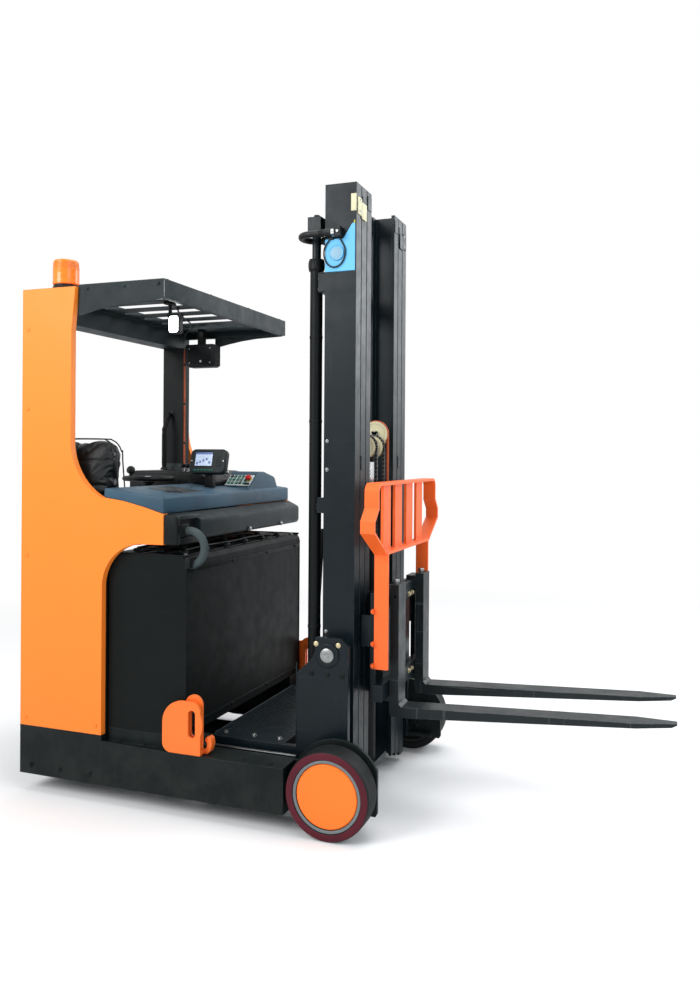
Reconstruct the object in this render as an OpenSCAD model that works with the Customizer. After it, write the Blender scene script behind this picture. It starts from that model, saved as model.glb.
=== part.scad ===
// Reach truck with a tall mast. Millimetres.
// X forward towards the fork tips, Y to the driver's left-hand side of the truck, Z up.
// Every sub-part is drawn with X = 0 at the rear face and then moved so the
// origin is the middle of the overall footprint.

/* [Chassis] */
// Overall width over the support legs
truck_w = 1253; // [1150:1:1400]
// Ground clearance under the chassis
floor_gap = 79; // [60:1:100]
// Height of the support legs
leg_top = 263; // [240:1:280]
// Load wheel radius
wheel_r = 175; // [160:1:180]
// Load wheel width
wheel_w = 110; // [90:1:112]
// Load wheel axle position
wheel_x = 1470; // [1450:1:1500]
// Height of the operator's column
column_top = 2230; // [2150:1:2350]

/* [Overhead guard] */
// Front edge of the guard
guard_x = 718; // [650:1:760]
// Number of viewing slots
guard_slots = 6; // [4:1:6]

/* [Battery] */
// Height of the battery
battery_h = 750; // [600:1:760]

/* [Mast] */
// Height of the mast rails
mast_top = 2640; // [2500:1:3200]
// Height of the tilt pivot
pivot_z = 680; // [660:1:700]

/* [Forks] */
// Fork blade length
fork_l = 1100; // [800:1:1300]
// Fork blade width
fork_w = 100; // [80:1:120]
// Distance between fork centres
fork_pitch = 390; // [320:1:480]
// Height of the fork heels as parked
fork_z = 440; // [420:1:600]
// Rise of the blades towards their tips, degrees
fork_rise = 2.4; // [0:0.1:3]

/* [Hidden] */
half_w = truck_w / 2;
guard_w = truck_w - 37;
battery_w = truck_w - 77;
mast_w = truck_w * 720 / 1253;
heel_x = 1645;
origin_x = (heel_x + fork_l) / 2;
$fn = 48;

seat_gap = 0.3;
skin = 30;
skirt_t = 20;
skirt_top = 293;
deck_z = 430;
deck_t = 20;
cab_x = 430;
panel_in = half_w - skin;

leg_in = half_w - wheel_w - 6.5;
leg_plate = 15;
track_in = leg_in - 55;
track_lip = 16;
track_z0 = 90;
track_z1 = 248;
leg_front = 1288;
track_mid = (track_z0 + track_z1) / 2;
track_roller_r = (track_z1 - track_z0) / 2 - track_lip - seat_gap;
track_roller_w = 36;
axle_r = 30;
run = 0.05;

drive_x = 215;
drive_y = -145;
drive_r = 165;
drive_w = 130;
neck_r = 100;

battery_z = 320;
battery_x0 = 440;
battery_x1 = 820;

nose_x = 734;
nose_z0 = 1122;
nose_z1 = 1251;
console_x = 438;
nose_curve = [[438, 1314], [532, 1302], [634, 1279], [734, nose_z1]];
console_rear_z = 1355;
console_front_z = 1320;
hump_x = 563;
hump_y = 150;
hump_slope = atan2(110, 138);
column_x = 264;
left_column_x = 100;
sweep_r = 272;
left_sweep_r = cab_x + 1 - left_column_x;
left_sweep_z = 1314 + left_sweep_r;
arch_r = 190;
bumper_x = 800;
notch_y = 196.5 - half_w;
cable_y = 66.5 - half_w;
cable_top = 1180;
cable_bend = 72;
cable_r = 17;

pillar_in = panel_in - 99.5;
pillar_x = 170;
seat_top = 880;
seat_w = pillar_in - 97;
left_pillar = [8, 140, panel_in - 96.5, panel_in - 36.5];
guard_z0 = 2159;
guard_z1 = 2240;
guard_beam_z = 2100;
guard_side = 25;
guard_plate = [2196, 2203];

wheel_c = [235, 15, 1378];
wheel_rim_r = 130;
handle_y = left_pillar[2] - 70;
handle_r = 12;
handle_lean = 30;
handle_rise = 100;

pivot_x = 1400;
side_plate = [leg_in - 95, leg_in - 70];
reach_x0 = pivot_x - 140;
reach_x1 = pivot_x + 90;
reach_top = pivot_z + 70;
tray_x0 = 860;
tray_x1 = 1200;
tray_z = 270;
tray_t = 20;
reach_rod_r = 22;
reach_cyl_r = 36;
reach_cyl_z = 170;
reach_cyl_x0 = 366;
pin_r = 30;

rail_x0 = 1345;
rail_x1 = 1485;
rail_flange = 18;
outer_y = [mast_w / 2 - 60, mast_w / 2];
middle_y = [outer_y[0] - 68, outer_y[0] - 8];
inner_y = [middle_y[0] - 64, middle_y[0] - 8];
inner_x0 = 1363;
inner_flange = 16;
rail_z0 = 40;
tie_x = [1315, 1335];
lift_cyl = [1284, mast_w / 2 - 55];
lift_cyl_r = 27;
lift_rod_r = 19;
lift_cyl_z = [320, mast_top - 300];
rod_head_z = [mast_top - 182, mast_top - 122];
plate_z = [mast_top - 370, mast_top - 232, mast_top - 170];
mid_tie = mast_top / 2 - 60;
upper_tie = mast_top - 450;
loop_x = 1285;
loop_end_x = 1417;
loop_y = -outer_y[1] + 47;
loop_z = mast_top - 207;
loop_r = 63;
loop_hose_r = 14;

tilt_z = 215;
tilt_y = mast_w / 2 - 210;
tilt_back_x = 1085;
tilt_slack = 2.5;
tilt_front_x = 1285;
tilt_pin_r = 12;

free_x = 1424;
free_cyl_r = 36;
free_rod_r = 24;
free_cyl_z = [118, 1280];
head_z = 1540;
hose_z = 1600;
sheave_r = 52;
sheave_y = 52;
hose_sheave_r = 64;
hose_sheave_y = 92;
chain_w = 18;
chain_t = 13;
chain_low_z = 470;

bar_x = [1560, 1600];
bar_half = [308, 340];
bar_upper = [855, 925];
bar_lower = [480, 548];
carriage_plate = [inner_y[0] - 18, inner_y[0] - 6];
carriage_roller_r = (rail_x1 - inner_x0) / 2 - inner_flange - seat_gap;
rail_roller_r = (rail_x1 - rail_x0) / 2 - rail_flange - seat_gap;
shank_t = 40;
shank_top = 955;
blade_t = 42;

rest_x = [1560, 1620];
rest_arm_y = 320;
rest_strap = 12;
rest_low = 1090;
rest_top = 1390;

module block(x, y, z)
    translate([x[0], y[0], z[0]]) cube([x[1] - x[0], y[1] - y[0], z[1] - z[0]]);

module x_bar(y, z, r, x)
    translate([x[0], y, z]) rotate([0, 90, 0]) cylinder(r = r, h = x[1] - x[0]);

module y_bar(x, z, r, y)
    translate([x, y[1], z]) rotate([90, 0, 0]) cylinder(r = r, h = y[1] - y[0]);

module z_bar(x, y, r, z)
    translate([x, y, z[0]]) cylinder(r = r, h = z[1] - z[0]);

// a flat shape drawn in X and Z, standing between two Y values
module upright(y)
    translate([0, y[1], 0]) rotate([90, 0, 0]) linear_extrude(y[1] - y[0]) children();

// a flat shape drawn in Y and Z, standing between two X values
module across(x)
    translate([x[0], 0, 0]) rotate([90, 0, 90]) linear_extrude(x[1] - x[0]) children();

module pair() {
    children();
    mirror([0, 1, 0]) children();
}

module round_slot(l, w)
    union() {
        translate([-l / 2 + w / 2, -w / 2]) square([l - w, w]);
        for (e = [-1, 1]) translate([e * (l - w) / 2, 0]) circle(d = w);
    }

module round_rect(w, h, r)
    union() {
        translate([-w / 2 + r, -h / 2]) square([w - 2 * r, h]);
        translate([-w / 2, -h / 2 + r]) square([w, h - 2 * r]);
        for (i = [-1, 1], j = [-1, 1])
            translate([i * (w / 2 - r), j * (h / 2 - r)]) circle(r = r);
    }

// chassis

module main_frame()
    color([0.10, 0.12, 0.12]) translate([-origin_x, 0, 0]) difference() {
        union() {
            pair() block([0, cab_x], [half_w - skirt_t, half_w], [floor_gap, skirt_top]);
            pair() block([0, cab_x], [panel_in - skirt_t, panel_in], [floor_gap, deck_z]);
            pair() block([0, cab_x], [panel_in - 1, half_w - skirt_t + 1], [floor_gap, skirt_top]);
            block([0, skirt_t], [-panel_in, panel_in], [floor_gap, deck_z]);
            block([cab_x - skirt_t, cab_x], [-panel_in, panel_in], [floor_gap, deck_z]);
            block([0, cab_x], [-panel_in, panel_in], [deck_z - deck_t, deck_z]);
        }
        z_bar(drive_x, drive_y, neck_r, [deck_z - deck_t - 1, deck_z + 1]);
        x_bar(0, reach_cyl_z, reach_cyl_r + run, [cab_x - skirt_t - 1, cab_x + 1]);
    }

module leg_outline()
    union() {
        translate([cab_x, floor_gap]) square([wheel_x - cab_x, leg_top - floor_gap]);
        intersection() {
            translate([wheel_x, wheel_r]) circle(r = 190, $fn = 96);
            translate([leg_front, floor_gap]) square([353, 400]);
        }
    }

module support_legs()
    color([0.10, 0.12, 0.12]) translate([-origin_x, 0, 0]) pair() {
        block([cab_x, leg_front], [leg_in, half_w], [floor_gap, leg_top]);
        upright([leg_in - leg_plate, leg_in]) leg_outline();
        block([cab_x + 50, 1600], [track_in, leg_in - leg_plate], [track_z0, track_z0 + track_lip]);
        block([cab_x + 50, 1600], [track_in, leg_in - leg_plate], [track_z1 - track_lip, track_z1]);
        y_bar(wheel_x, wheel_r, axle_r, [leg_in - 1, half_w - 21]);
        block([battery_x0, battery_x1 + 10], [track_in, battery_w / 2], [leg_top, battery_z]);
        block([battery_x0, battery_x1 + 10], [track_in, leg_in], [track_z1 - track_lip, leg_top + 1]);
    }

module nose_outline()
    union() {
        polygon(concat([[cab_x, 1118], [nose_x, nose_z0], [nose_x, nose_z1]],
            [nose_curve[2], nose_curve[1], nose_curve[0]], [[cab_x, 1316]]));
        difference() {
            translate([cab_x - 1, 1118 - arch_r]) square([arch_r + 1, arch_r + 1]);
            translate([cab_x + arch_r, 1118 - arch_r]) circle(r = arch_r, $fn = 96);
        }
    }

module right_outline()
    union() {
        difference() {
            polygon([[0, skirt_top], [cab_x, skirt_top], [cab_x, 1561], [column_x, 1561],
                [column_x, column_top - 190], [column_x + 18, column_top], [0, column_top]]);
            translate([column_x + sweep_r, 1561]) circle(r = sweep_r, $fn = 96);
        }
        nose_outline();
    }

module left_outline()
    union() {
        difference() {
            polygon([[0, skirt_top], [cab_x, skirt_top], [cab_x, left_sweep_z], [left_column_x, left_sweep_z],
                [left_column_x, guard_beam_z], [0, guard_beam_z]]);
            translate([cab_x + 1, left_sweep_z]) circle(r = left_sweep_r, $fn = 96);
        }
        nose_outline();
    }

module side_panel_right()
    color([1.0, 0.50, 0.13]) translate([-origin_x, 0, 0]) {
        upright([-half_w, -panel_in]) right_outline();
        block([0, column_x], [-panel_in - 1, -pillar_in], [column_top - 15, column_top]);
    }

module side_panel_left()
    color([1.0, 0.50, 0.13]) translate([-origin_x, 0, 0])
        upright([panel_in, half_w]) left_outline();

module rear_cover()
    color([0.10, 0.12, 0.12]) translate([-origin_x, 0, 0])
        block([0, skirt_t], [-panel_in, 0], [deck_z, 1000]);

module operator_floor()
    color([0.12, 0.12, 0.12]) translate([-origin_x, 0, 0]) {
        block([0, cab_x], [0, panel_in], [deck_z, deck_z + 15]);
        for (p = [[120, 60], [250, 60], [360, 40]])
            translate([p[0], left_pillar[2] - 130, deck_z + 14]) rotate([20, 0, 0])
                translate([-p[1] / 2, 0, 0]) cube([p[1], 110, 22]);
    }

module seat_base()
    color([0.10, 0.12, 0.12]) translate([-origin_x, 0, 0]) difference() {
        block([skirt_t, cab_x], [-pillar_in, 0], [deck_z, seat_top]);
        block([skirt_t + 15, cab_x - 15], [-pillar_in + 15, -15], [deck_z - 1, seat_top - 15]);
    }

module seat_cushion()
    color([0.05, 0.05, 0.05]) translate([-origin_x, 0, 0])
        translate([(skirt_t + cab_x + 10) / 2, -seat_w / 2, seat_top]) linear_extrude(95) round_rect(390, seat_w, 60);

module seat_back()
    color([0.05, 0.05, 0.05]) translate([-origin_x, 0, 0]) upright([-pillar_in, -pillar_in + 92])
        union() {
            translate([30, 990]) square([268, 585]);
            translate([30, 990]) square([368, 485]);
            translate([298, 1475]) circle(r = 100, $fn = 64);
        }

module guard_pillars()
    color([0.10, 0.12, 0.12]) translate([-origin_x, 0, 0]) {
        block([skirt_t, pillar_x], [-panel_in, -pillar_in], [deck_z, column_top - 15]);
        block([skirt_t, cab_x], [-panel_in, -pillar_in], [deck_z, 1000]);
        block([left_pillar[0], left_pillar[1]], [left_pillar[2], left_pillar[3]],
            [deck_z + 15, guard_beam_z]);
    }

module overhead_guard()
    color([0.12, 0.14, 0.14]) translate([-origin_x, 0, 0]) difference() {
        union() {
            block([column_x + 22, guard_x], [-guard_w / 2, guard_w / 2], [guard_z0, guard_z1]);
            block([0, column_x + 30], [-pillar_in, guard_w / 2], [guard_z0, guard_z1]);
            block([0, 110], [-pillar_in, guard_w / 2], [guard_beam_z, guard_z0 + 1]);
            pair() upright([guard_w / 2 - 12, guard_w / 2]) polygon([[column_x + 22, guard_z0 + 1],
                [column_x + 22, guard_z0 - 52], [370, guard_z0 - 34], [450, guard_z0 - 20],
                [540, guard_z0 - 10], [guard_x - 18, guard_z0 - 3], [guard_x - 18, guard_z0 + 1]]);
        }
        for (z = [[guard_z0 - 1, guard_plate[0]], [guard_plate[1], guard_z1 + 1]]) {
            block([column_x + 22 + guard_side, guard_x - guard_side],
                [-guard_w / 2 + guard_side, guard_w / 2 - guard_side], z);
            block([110, column_x + 60], [-pillar_in + guard_side, guard_w / 2 - guard_side], z);
        }
        for (i = [0 : guard_slots - 1])
            translate([415, (i - (guard_slots - 1) / 2) * 165, 2180])
                linear_extrude(40) round_slot(500, 92);
    }

module grab_handle()
    color([0.06, 0.06, 0.06]) translate([-origin_x, 0, 0]) {
        z_bar(60, handle_y, handle_r, [1415, 1640]);
        translate([60, handle_y, 1640]) sphere(r = handle_r + 1);
        translate([60, handle_y, 1640]) rotate([-handle_lean, 0, 0]) cylinder(r = handle_r, h = handle_rise);
        translate([60, handle_y + handle_rise * sin(handle_lean), 1640 + handle_rise * cos(handle_lean)])
            sphere(r = handle_r + 1);
        y_bar(60, 1640 + handle_rise * cos(handle_lean), handle_r,
            [handle_y + handle_rise * sin(handle_lean), left_pillar[2]]);
    }

module beacon()
    color([1.0, 0.45, 0.05]) translate([-origin_x, 0, 0]) translate([172, 76.5 - half_w, column_top]) {
        cylinder(r = 50, h = 40);
        translate([0, 0, 40]) cylinder(r = 58, h = 85);
        translate([0, 0, 125]) cylinder(r1 = 58, r2 = 50, h = 12);
    }

module work_lamp()
    color([0.85, 0.87, 0.85]) translate([-origin_x, 0, 0]) {
        block([544, 580], [-345, -285], [2183, guard_plate[0]]);
        z_bar(562, -312, 10, [2145, 2184]);
        translate([562, -312, 2138]) sphere(r = 16);
        translate([596, -300, 2092]) rotate([90, 0, 0])
            linear_extrude(40) round_rect(56, 84, 14);
    }

module finned_box()
    color([0.08, 0.08, 0.08]) translate([-origin_x, 0, 0]) {
        block([230, 270], [left_pillar[2] - 10, left_pillar[2] + 30], [2115, guard_plate[0]]);
        block([160, 345], [left_pillar[2] - 25, left_pillar[2] + 45], [1985, 2116]);
        for (i = [0 : 8]) block([345, 353], [left_pillar[2] - 22 + i * 8, left_pillar[2] - 19 + i * 8], [1990, 2111]);
    }

module console()
    color([0.24, 0.33, 0.42]) translate([-origin_x, 0, 0]) {
        upright([-half_w, half_w]) polygon(concat(nose_curve,
            [[nose_x, console_front_z], [console_x, console_rear_z]]));
        across([hump_x, nose_x - 12]) polygon([[hump_y, 1300], [hump_y + 138, 1410], [hump_y + 195, 1413],
            [panel_in - 134, 1385], [panel_in - 71, 1292]]);
    }

module console_bumper()
    color([0.12, 0.15, 0.16]) translate([-origin_x, 0, 0]) {
        block([cab_x + 30, nose_x], [-panel_in, panel_in], [nose_z0 + 3, nose_z0 + 18]);
        block([nose_x, bumper_x], [-half_w, notch_y], [nose_z0, nose_z1]);
        upright([notch_y - 1, half_w])
            polygon([[nose_x, nose_z0], [bumper_x - 10, nose_z0 + 10], [bumper_x, nose_z0 + 30],
                [bumper_x, nose_z1 - 35], [nose_x, nose_z1]]);
    }

module dashboard()
    color([0.06, 0.06, 0.07]) translate([-origin_x, 0, 0]) {
        difference() {
            upright([170, panel_in]) polygon([[left_pillar[0], 1200], [console_x - 1, 1200],
                [console_x - 1, 1415], [left_pillar[0] + 15, 1415], [left_pillar[0], 1400]]);
            block([left_pillar[0], left_pillar[1]], [left_pillar[2], left_pillar[3]], [1100, 1500]);
        }
        upright([80, panel_in - 60]) polygon([[console_x - 2, 1355.2], [console_x, console_rear_z],
            [560, 1340.6], [560, 1375], [470, 1415], [console_x - 2, 1415]]);
        block([215, 255], [-5, 171], [1290, 1325]);
        z_bar(wheel_c[0], wheel_c[1], 20, [1290, 1352]);
    }

module display()
    color([0.07, 0.07, 0.08]) translate([-origin_x, 0, 0]) {
        difference() {
            translate([580, 40, 1460]) rotate([76, 0, 0]) linear_extrude(40) round_rect(200, 125, 28);
            translate([580, -1, 1452]) rotate([76, 0, 0]) linear_extrude(30) square([120, 80], center = true);
        }
        upright([20, 60]) polygon([[550, 1341.8], [600, 1335.9], [600, 1420], [550, 1420]]);
    }

module button_panel()
    color([0.85, 0.87, 0.86]) translate([-origin_x, 0, 0])
        translate([(hump_x + nose_x - 12) / 2, hump_y + 82, 1365.8]) rotate([hump_slope, 0, 0]) {
            linear_extrude(6) square([140, 84], center = true);
            for (i = [0 : 3], j = [0, 1]) translate([-48 + i * 24, 12 - j * 26, 5]) cylinder(r = 8, h = 7);
            translate([50, 8, 5]) cylinder(r = 9, h = 12);
            translate([50, 8, 16]) cylinder(r = 15, h = 12);
        }

module battery()
    color([0.07, 0.09, 0.09]) translate([-origin_x, 0, 0])
        upright([-battery_w / 2, battery_w / 2])
            polygon([[battery_x0, battery_z], [battery_x1, battery_z],
                [battery_x1, battery_z + battery_h - 20], [battery_x1 - 14, battery_z + battery_h],
                [battery_x0, battery_z + battery_h]]);

module hook_slot()
    translate([874, 390]) rotate(90) round_slot(114, 34);

module hook_outer()
    difference() {
        union() {
            translate([830, 387]) circle(r = 95, $fn = 64);
            translate([775, leg_top + 40]) circle(r = 40, $fn = 64);
            translate([735, leg_top + 40]) square([180, 84]);
            translate([775, leg_top]) square([140, 137]);
            translate([830, 380]) square([45, 102]);
            translate([830, 380]) square([85, 62]);
            translate([875, 442]) circle(r = 40, $fn = 64);
        }
        hook_slot();
    }

module hook_inner()
    difference() {
        union() {
            translate([872, 466]) circle(r = 40, $fn = 64);
            translate([832, leg_top]) square([80, 203]);
        }
        hook_slot();
    }

module battery_hooks()
    color([0.98, 0.42, 0.12]) translate([-origin_x, 0, 0]) pair() {
        upright([half_w - 12, half_w]) hook_outer();
        upright([half_w - 34, half_w - 24]) hook_inner();
        y_bar(872, 466, 9, [half_w - 34, half_w]);
        block([832, 912], [half_w - 34, half_w], [leg_top, leg_top + 18]);
    }

module battery_cable()
    color([0.35, 0.38, 0.39]) translate([-origin_x, 0, 0]) {
        x_bar(cable_y, cable_top, cable_r, [bumper_x, battery_x1]);
        translate([battery_x1, cable_y, cable_top - cable_bend]) rotate([90, 0, 0]) rotate([0, 0, -90])
            rotate_extrude(angle = 180) translate([cable_bend, 0]) circle(r = cable_r);
    }

module reach_cylinder()
    color([0.08, 0.09, 0.09]) translate([-origin_x, 0, 0]) difference() {
        union() {
            x_bar(0, reach_cyl_z, reach_cyl_r, [reach_cyl_x0, 765]);
            x_bar(0, reach_cyl_z, reach_cyl_r + 6, [735, 770]);
            block([cab_x, cab_x + 16], [-60, 60], [reach_cyl_z - 55, reach_cyl_z + 55]);
        }
        x_bar(0, reach_cyl_z, reach_rod_r + 4, [reach_cyl_x0 + 18, 745]);
        x_bar(0, reach_cyl_z, reach_rod_r + run, [744, 776]);
    }

// steering and wheels

module steering_wheel()
    color([0.05, 0.05, 0.05]) translate([-origin_x, 0, 0]) translate(wheel_c) {
        rotate_extrude($fn = 64) translate([wheel_rim_r - 13, 0]) circle(r = 13);
        translate([0, 0, -25.7]) cylinder(r = 34, h = 26);
        for (a = [90, 210, 330]) rotate([0, 0, a]) translate([20, -14, -8]) cube([wheel_rim_r - 32, 28, 10]);
        translate([-wheel_rim_r + 24, 0, 4]) cylinder(r = 9, h = 30);
        translate([-wheel_rim_r + 24, 0, 40]) sphere(r = 22);
    }

module drive_unit()
    color([0.14, 0.15, 0.15]) translate([-origin_x, 0, 0]) {
        z_bar(drive_x, drive_y, neck_r - run, [330 + 10, deck_z + 5]);
        z_bar(drive_x, drive_y, neck_r + 18, [deck_z + 0.5, deck_z + 20]);
        z_bar(drive_x, drive_y, 92, [deck_z + 19, 770]);
        block([drive_x - 80, drive_x + 80], [drive_y - 90, drive_y + 115], [340, 404]);
        block([drive_x - 70, drive_x + 70], [drive_y + drive_w / 2 + 8, drive_y + 115], [105, 341]);
        y_bar(drive_x, drive_r, axle_r, [drive_y - drive_w / 2 + 10, drive_y + drive_w / 2 + 9]);
    }

module drive_wheel()
    color([0.30, 0.12, 0.10]) translate([-origin_x, 0, 0]) difference() {
        y_bar(drive_x, drive_r, drive_r, [drive_y - drive_w / 2, drive_y + drive_w / 2]);
        y_bar(drive_x, drive_r, axle_r + run, [drive_y - drive_w / 2 - 1, drive_y + drive_w / 2 + 1]);
        for (y = [-1, 1]) translate([drive_x, drive_y + y * drive_w / 2, drive_r]) rotate([90, 0, 0])
            difference() {
                cylinder(r = 108, h = 36, center = true);
                cylinder(r = 58, h = 40, center = true);
            }
    }

tyre_in = 142;
disc_r = 127;

module load_tyre()
    translate([wheel_x, half_w, wheel_r]) rotate([90, 0, 0]) difference() {
        union() {
            cylinder(r = wheel_r - 6, h = wheel_w, $fn = 96);
            translate([0, 0, 6]) cylinder(r = wheel_r, h = wheel_w - 12, $fn = 96);
        }
        translate([0, 0, -1]) cylinder(r = tyre_in, h = wheel_w + 2, $fn = 96);
    }

module load_hub()
    translate([wheel_x, half_w, wheel_r]) rotate([90, 0, 0]) difference() {
        union() {
            translate([0, 0, 3]) cylinder(r = tyre_in, h = wheel_w - 6, $fn = 96);
        }
        translate([0, 0, 20]) cylinder(r = axle_r + run, h = wheel_w);
        translate([0, 0, 2]) difference() {
            cylinder(r = tyre_in - 8, h = 5);
            cylinder(r = disc_r, h = 5);
        }
        translate([0, 0, wheel_w - 22]) difference() {
            cylinder(r = tyre_in - 16, h = 30);
            cylinder(r = 60, h = 30);
        }
    }

module load_tyre_right()
    color([0.10, 0.10, 0.10]) translate([-origin_x, 0, 0]) mirror([0, 1, 0]) load_tyre();

module load_hub_right()
    color([0.95, 0.45, 0.12]) translate([-origin_x, 0, 0]) mirror([0, 1, 0]) load_hub();

module load_tyre_left()
    color([0.10, 0.10, 0.10]) translate([-origin_x, 0, 0]) load_tyre();

module load_hub_left()
    color([0.95, 0.45, 0.12]) translate([-origin_x, 0, 0]) load_hub();

// reach carriage and tilt

module reach_side()
    difference() {
        union() {
            upright(side_plate) polygon([[reach_x0, 100], [reach_x1, 100], [reach_x1, reach_top - 30],
                [reach_x1 - 30, reach_top], [1345, reach_top], [1343, 690], [1331, 662],
                [reach_x0, 594]]);
            block([tray_x0, reach_x0 + 1], side_plate, [100, tray_z + tray_t]);
            for (x = [tray_x0 + 75, 1400])
                y_bar(x, track_mid, track_roller_r, [track_in + 2, track_in + 2 + track_roller_w]);
            for (x = [tray_x0 + 75, 1400])
                y_bar(x, track_mid, 24, [side_plate[1] - 1, track_in + 3]);
        }
        y_bar(pivot_x, pivot_z, pin_r + run, [side_plate[0] - 1, side_plate[1] + 1]);
    }

module reach_carriage()
    color([0.09, 0.11, 0.11]) translate([-origin_x, 0, 0]) {
        pair() reach_side();
        block([tray_x0, tray_x1], [-side_plate[0] - 1, side_plate[0] + 1], [tray_z, tray_z + tray_t]);
        difference() {
            block([1140, tray_x1], [-side_plate[0] - 1, side_plate[0] + 1], [110, tray_z + 1]);
            for (s = [-1, 1])
                block([1139, tray_x1 + 1], [s * tilt_y - 42, s * tilt_y + 42], [tilt_z - 42, tilt_z + 42]);
        }
        x_bar(0, reach_cyl_z, reach_rod_r, [760, 1141]);
        for (s = [-1, 1], e = [-1, 1])
            difference() {
                upright([s * tilt_y + e * 30 - 8, s * tilt_y + e * 30 + 8]) union() {
                    translate([tilt_back_x, tilt_z]) circle(r = 28);
                    translate([tilt_back_x - 28, tilt_z]) square([56, tray_z + 1 - tilt_z]);
                }
                y_bar(tilt_back_x, tilt_z, tilt_pin_r, [s * tilt_y + e * 30 - 9, s * tilt_y + e * 30 + 9]);
            }
        for (s = [-1, 1]) y_bar(tilt_back_x, tilt_z, tilt_pin_r, [s * tilt_y - 38, s * tilt_y + 38]);
    }

module tilt_barrels()
    color([0.12, 0.13, 0.13]) translate([-origin_x, 0, 0]) for (s = [-1, 1]) difference() {
        union() {
            x_bar(s * tilt_y, tilt_z, 28, [tilt_back_x + 34, tilt_back_x + 120]);
            block([tilt_back_x, tilt_back_x + 35], [s * tilt_y - 14, s * tilt_y + 14], [tilt_z - 16, tilt_z + 16]);
            y_bar(tilt_back_x, tilt_z, 24, [s * tilt_y - 16, s * tilt_y + 16]);
        }
        x_bar(s * tilt_y, tilt_z, 15 + run, [tilt_back_x + 40, tilt_back_x + 121]);
        y_bar(tilt_back_x, tilt_z, tilt_pin_r + run, [s * tilt_y - 40, s * tilt_y + 40]);
    }

module tilt_rods()
    color([0.75, 0.76, 0.76]) translate([-origin_x, 0, 0]) for (s = [-1, 1]) difference() {
        union() {
            x_bar(s * tilt_y, tilt_z, 15, [tilt_back_x + 100, tilt_front_x - 10]);
            y_bar(tilt_front_x, tilt_z, 22, [s * tilt_y - 14, s * tilt_y + 14]);
        }
        y_bar(tilt_front_x, tilt_z, tilt_pin_r + tilt_slack, [s * tilt_y - 40, s * tilt_y + 40]);
    }

// mast

module channel(y, x0, flange, web, z, web_at)
    difference() {
        block([x0, rail_x1], y, z);
        block([x0 + flange, rail_x1 - flange], [web_at[0], web_at[1]], [z[0] - 1, z[1] + 1]);
    }

module plate_outline()
    polygon([[rail_x0 + rail_flange, plate_z[0]], [rail_x1 - rail_flange, plate_z[0]],
        [rail_x1 - rail_flange, plate_z[2]], [rail_x1 - 61, plate_z[1]], [rail_x0 + rail_flange, plate_z[1]]]);

module mast_outer()
    color([0.09, 0.11, 0.11]) translate([-origin_x, 0, 0]) {
        pair() {
            difference() {
                block([rail_x0, rail_x1], outer_y, [rail_z0, mast_top]);
                block([rail_x0 + rail_flange, rail_x1 - rail_flange],
                    [outer_y[0] - 1, outer_y[1] - 14], [rail_z0 - 1, mast_top + 1]);
                upright([outer_y[0] - 1, outer_y[1] + 1]) plate_outline();
            }
            y_bar(pivot_x, pivot_z, pin_r, [outer_y[1] - 1, side_plate[1] + 10]);
            y_bar(pivot_x, pivot_z, 55, [outer_y[1] - 1, outer_y[1] + (side_plate[0] - outer_y[1]) * 6 / 11]);
            for (z = [[120, 200], [mid_tie, mid_tie + 60], [upper_tie, upper_tie + 80]])
                block([tie_x[1] - 1, rail_x0 + 1], [outer_y[0] + 2, outer_y[1]], z);
        }
        for (z = [[120, 200], [mid_tie, mid_tie + 60], [upper_tie, upper_tie + 80]])
            block(tie_x, [-outer_y[1], outer_y[1]], z);
        for (s = [-1, 1], e = [-1, 1]) {
            difference() {
                upright([s * tilt_y + e * 26 - 8, s * tilt_y + e * 26 + 8]) union() {
                    translate([tilt_front_x, tilt_z]) circle(r = 26);
                    translate([tilt_front_x, tilt_z - 26]) square([30, 52]);
                }
                y_bar(tilt_front_x, tilt_z, tilt_pin_r, [s * tilt_y + e * 26 - 9, s * tilt_y + e * 26 + 9]);
            }
        }
        for (s = [-1, 1]) {
            y_bar(tilt_front_x, tilt_z, tilt_pin_r, [s * tilt_y - 34, s * tilt_y + 34]);
        }
        block(tie_x, [-200, 200], [199, tilt_z + 50]);
        pair() {
            block([lift_cyl[0] - 32, tie_x[0] + 1], [lift_cyl[1] - 32, lift_cyl[1] + 32], [300, lift_cyl_z[0]]);
            block(tie_x, [lift_cyl[1] - 32, lift_cyl[1] + 55], [199, lift_cyl_z[0]]);
        }
    }

module mast_plates()
    color([0.45, 0.80, 0.98]) translate([-origin_x, 0, 0]) pair() {
        upright([outer_y[1] - 12, outer_y[1] - 4]) plate_outline();
        y_bar(rail_x0 + 55, plate_z[1] - 60, 30, [outer_y[1] - 5, outer_y[1] + 8]);
    }

module lift_cylinders()
    color([0.07, 0.08, 0.08]) translate([-origin_x, 0, 0]) pair() difference() {
        union() {
            z_bar(lift_cyl[0], lift_cyl[1], lift_cyl_r, lift_cyl_z);
            z_bar(lift_cyl[0], lift_cyl[1], lift_cyl_r + 5, [lift_cyl_z[1] - 50, lift_cyl_z[1]]);
            block([lift_cyl[0], tie_x[0]], [lift_cyl[1] - 15, lift_cyl[1] + 15], [upper_tie + 10, upper_tie + 70]);
            block([lift_cyl[0], tie_x[0]], [lift_cyl[1] - 15, lift_cyl[1] + 15], [mid_tie + 10, mid_tie + 50]);
        }
        z_bar(lift_cyl[0], lift_cyl[1], lift_rod_r + 4, [lift_cyl_z[0] + 20, lift_cyl_z[1] - 40]);
        z_bar(lift_cyl[0], lift_cyl[1], lift_rod_r + run, [lift_cyl_z[1] - 41, lift_cyl_z[1] + 1]);
    }

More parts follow.
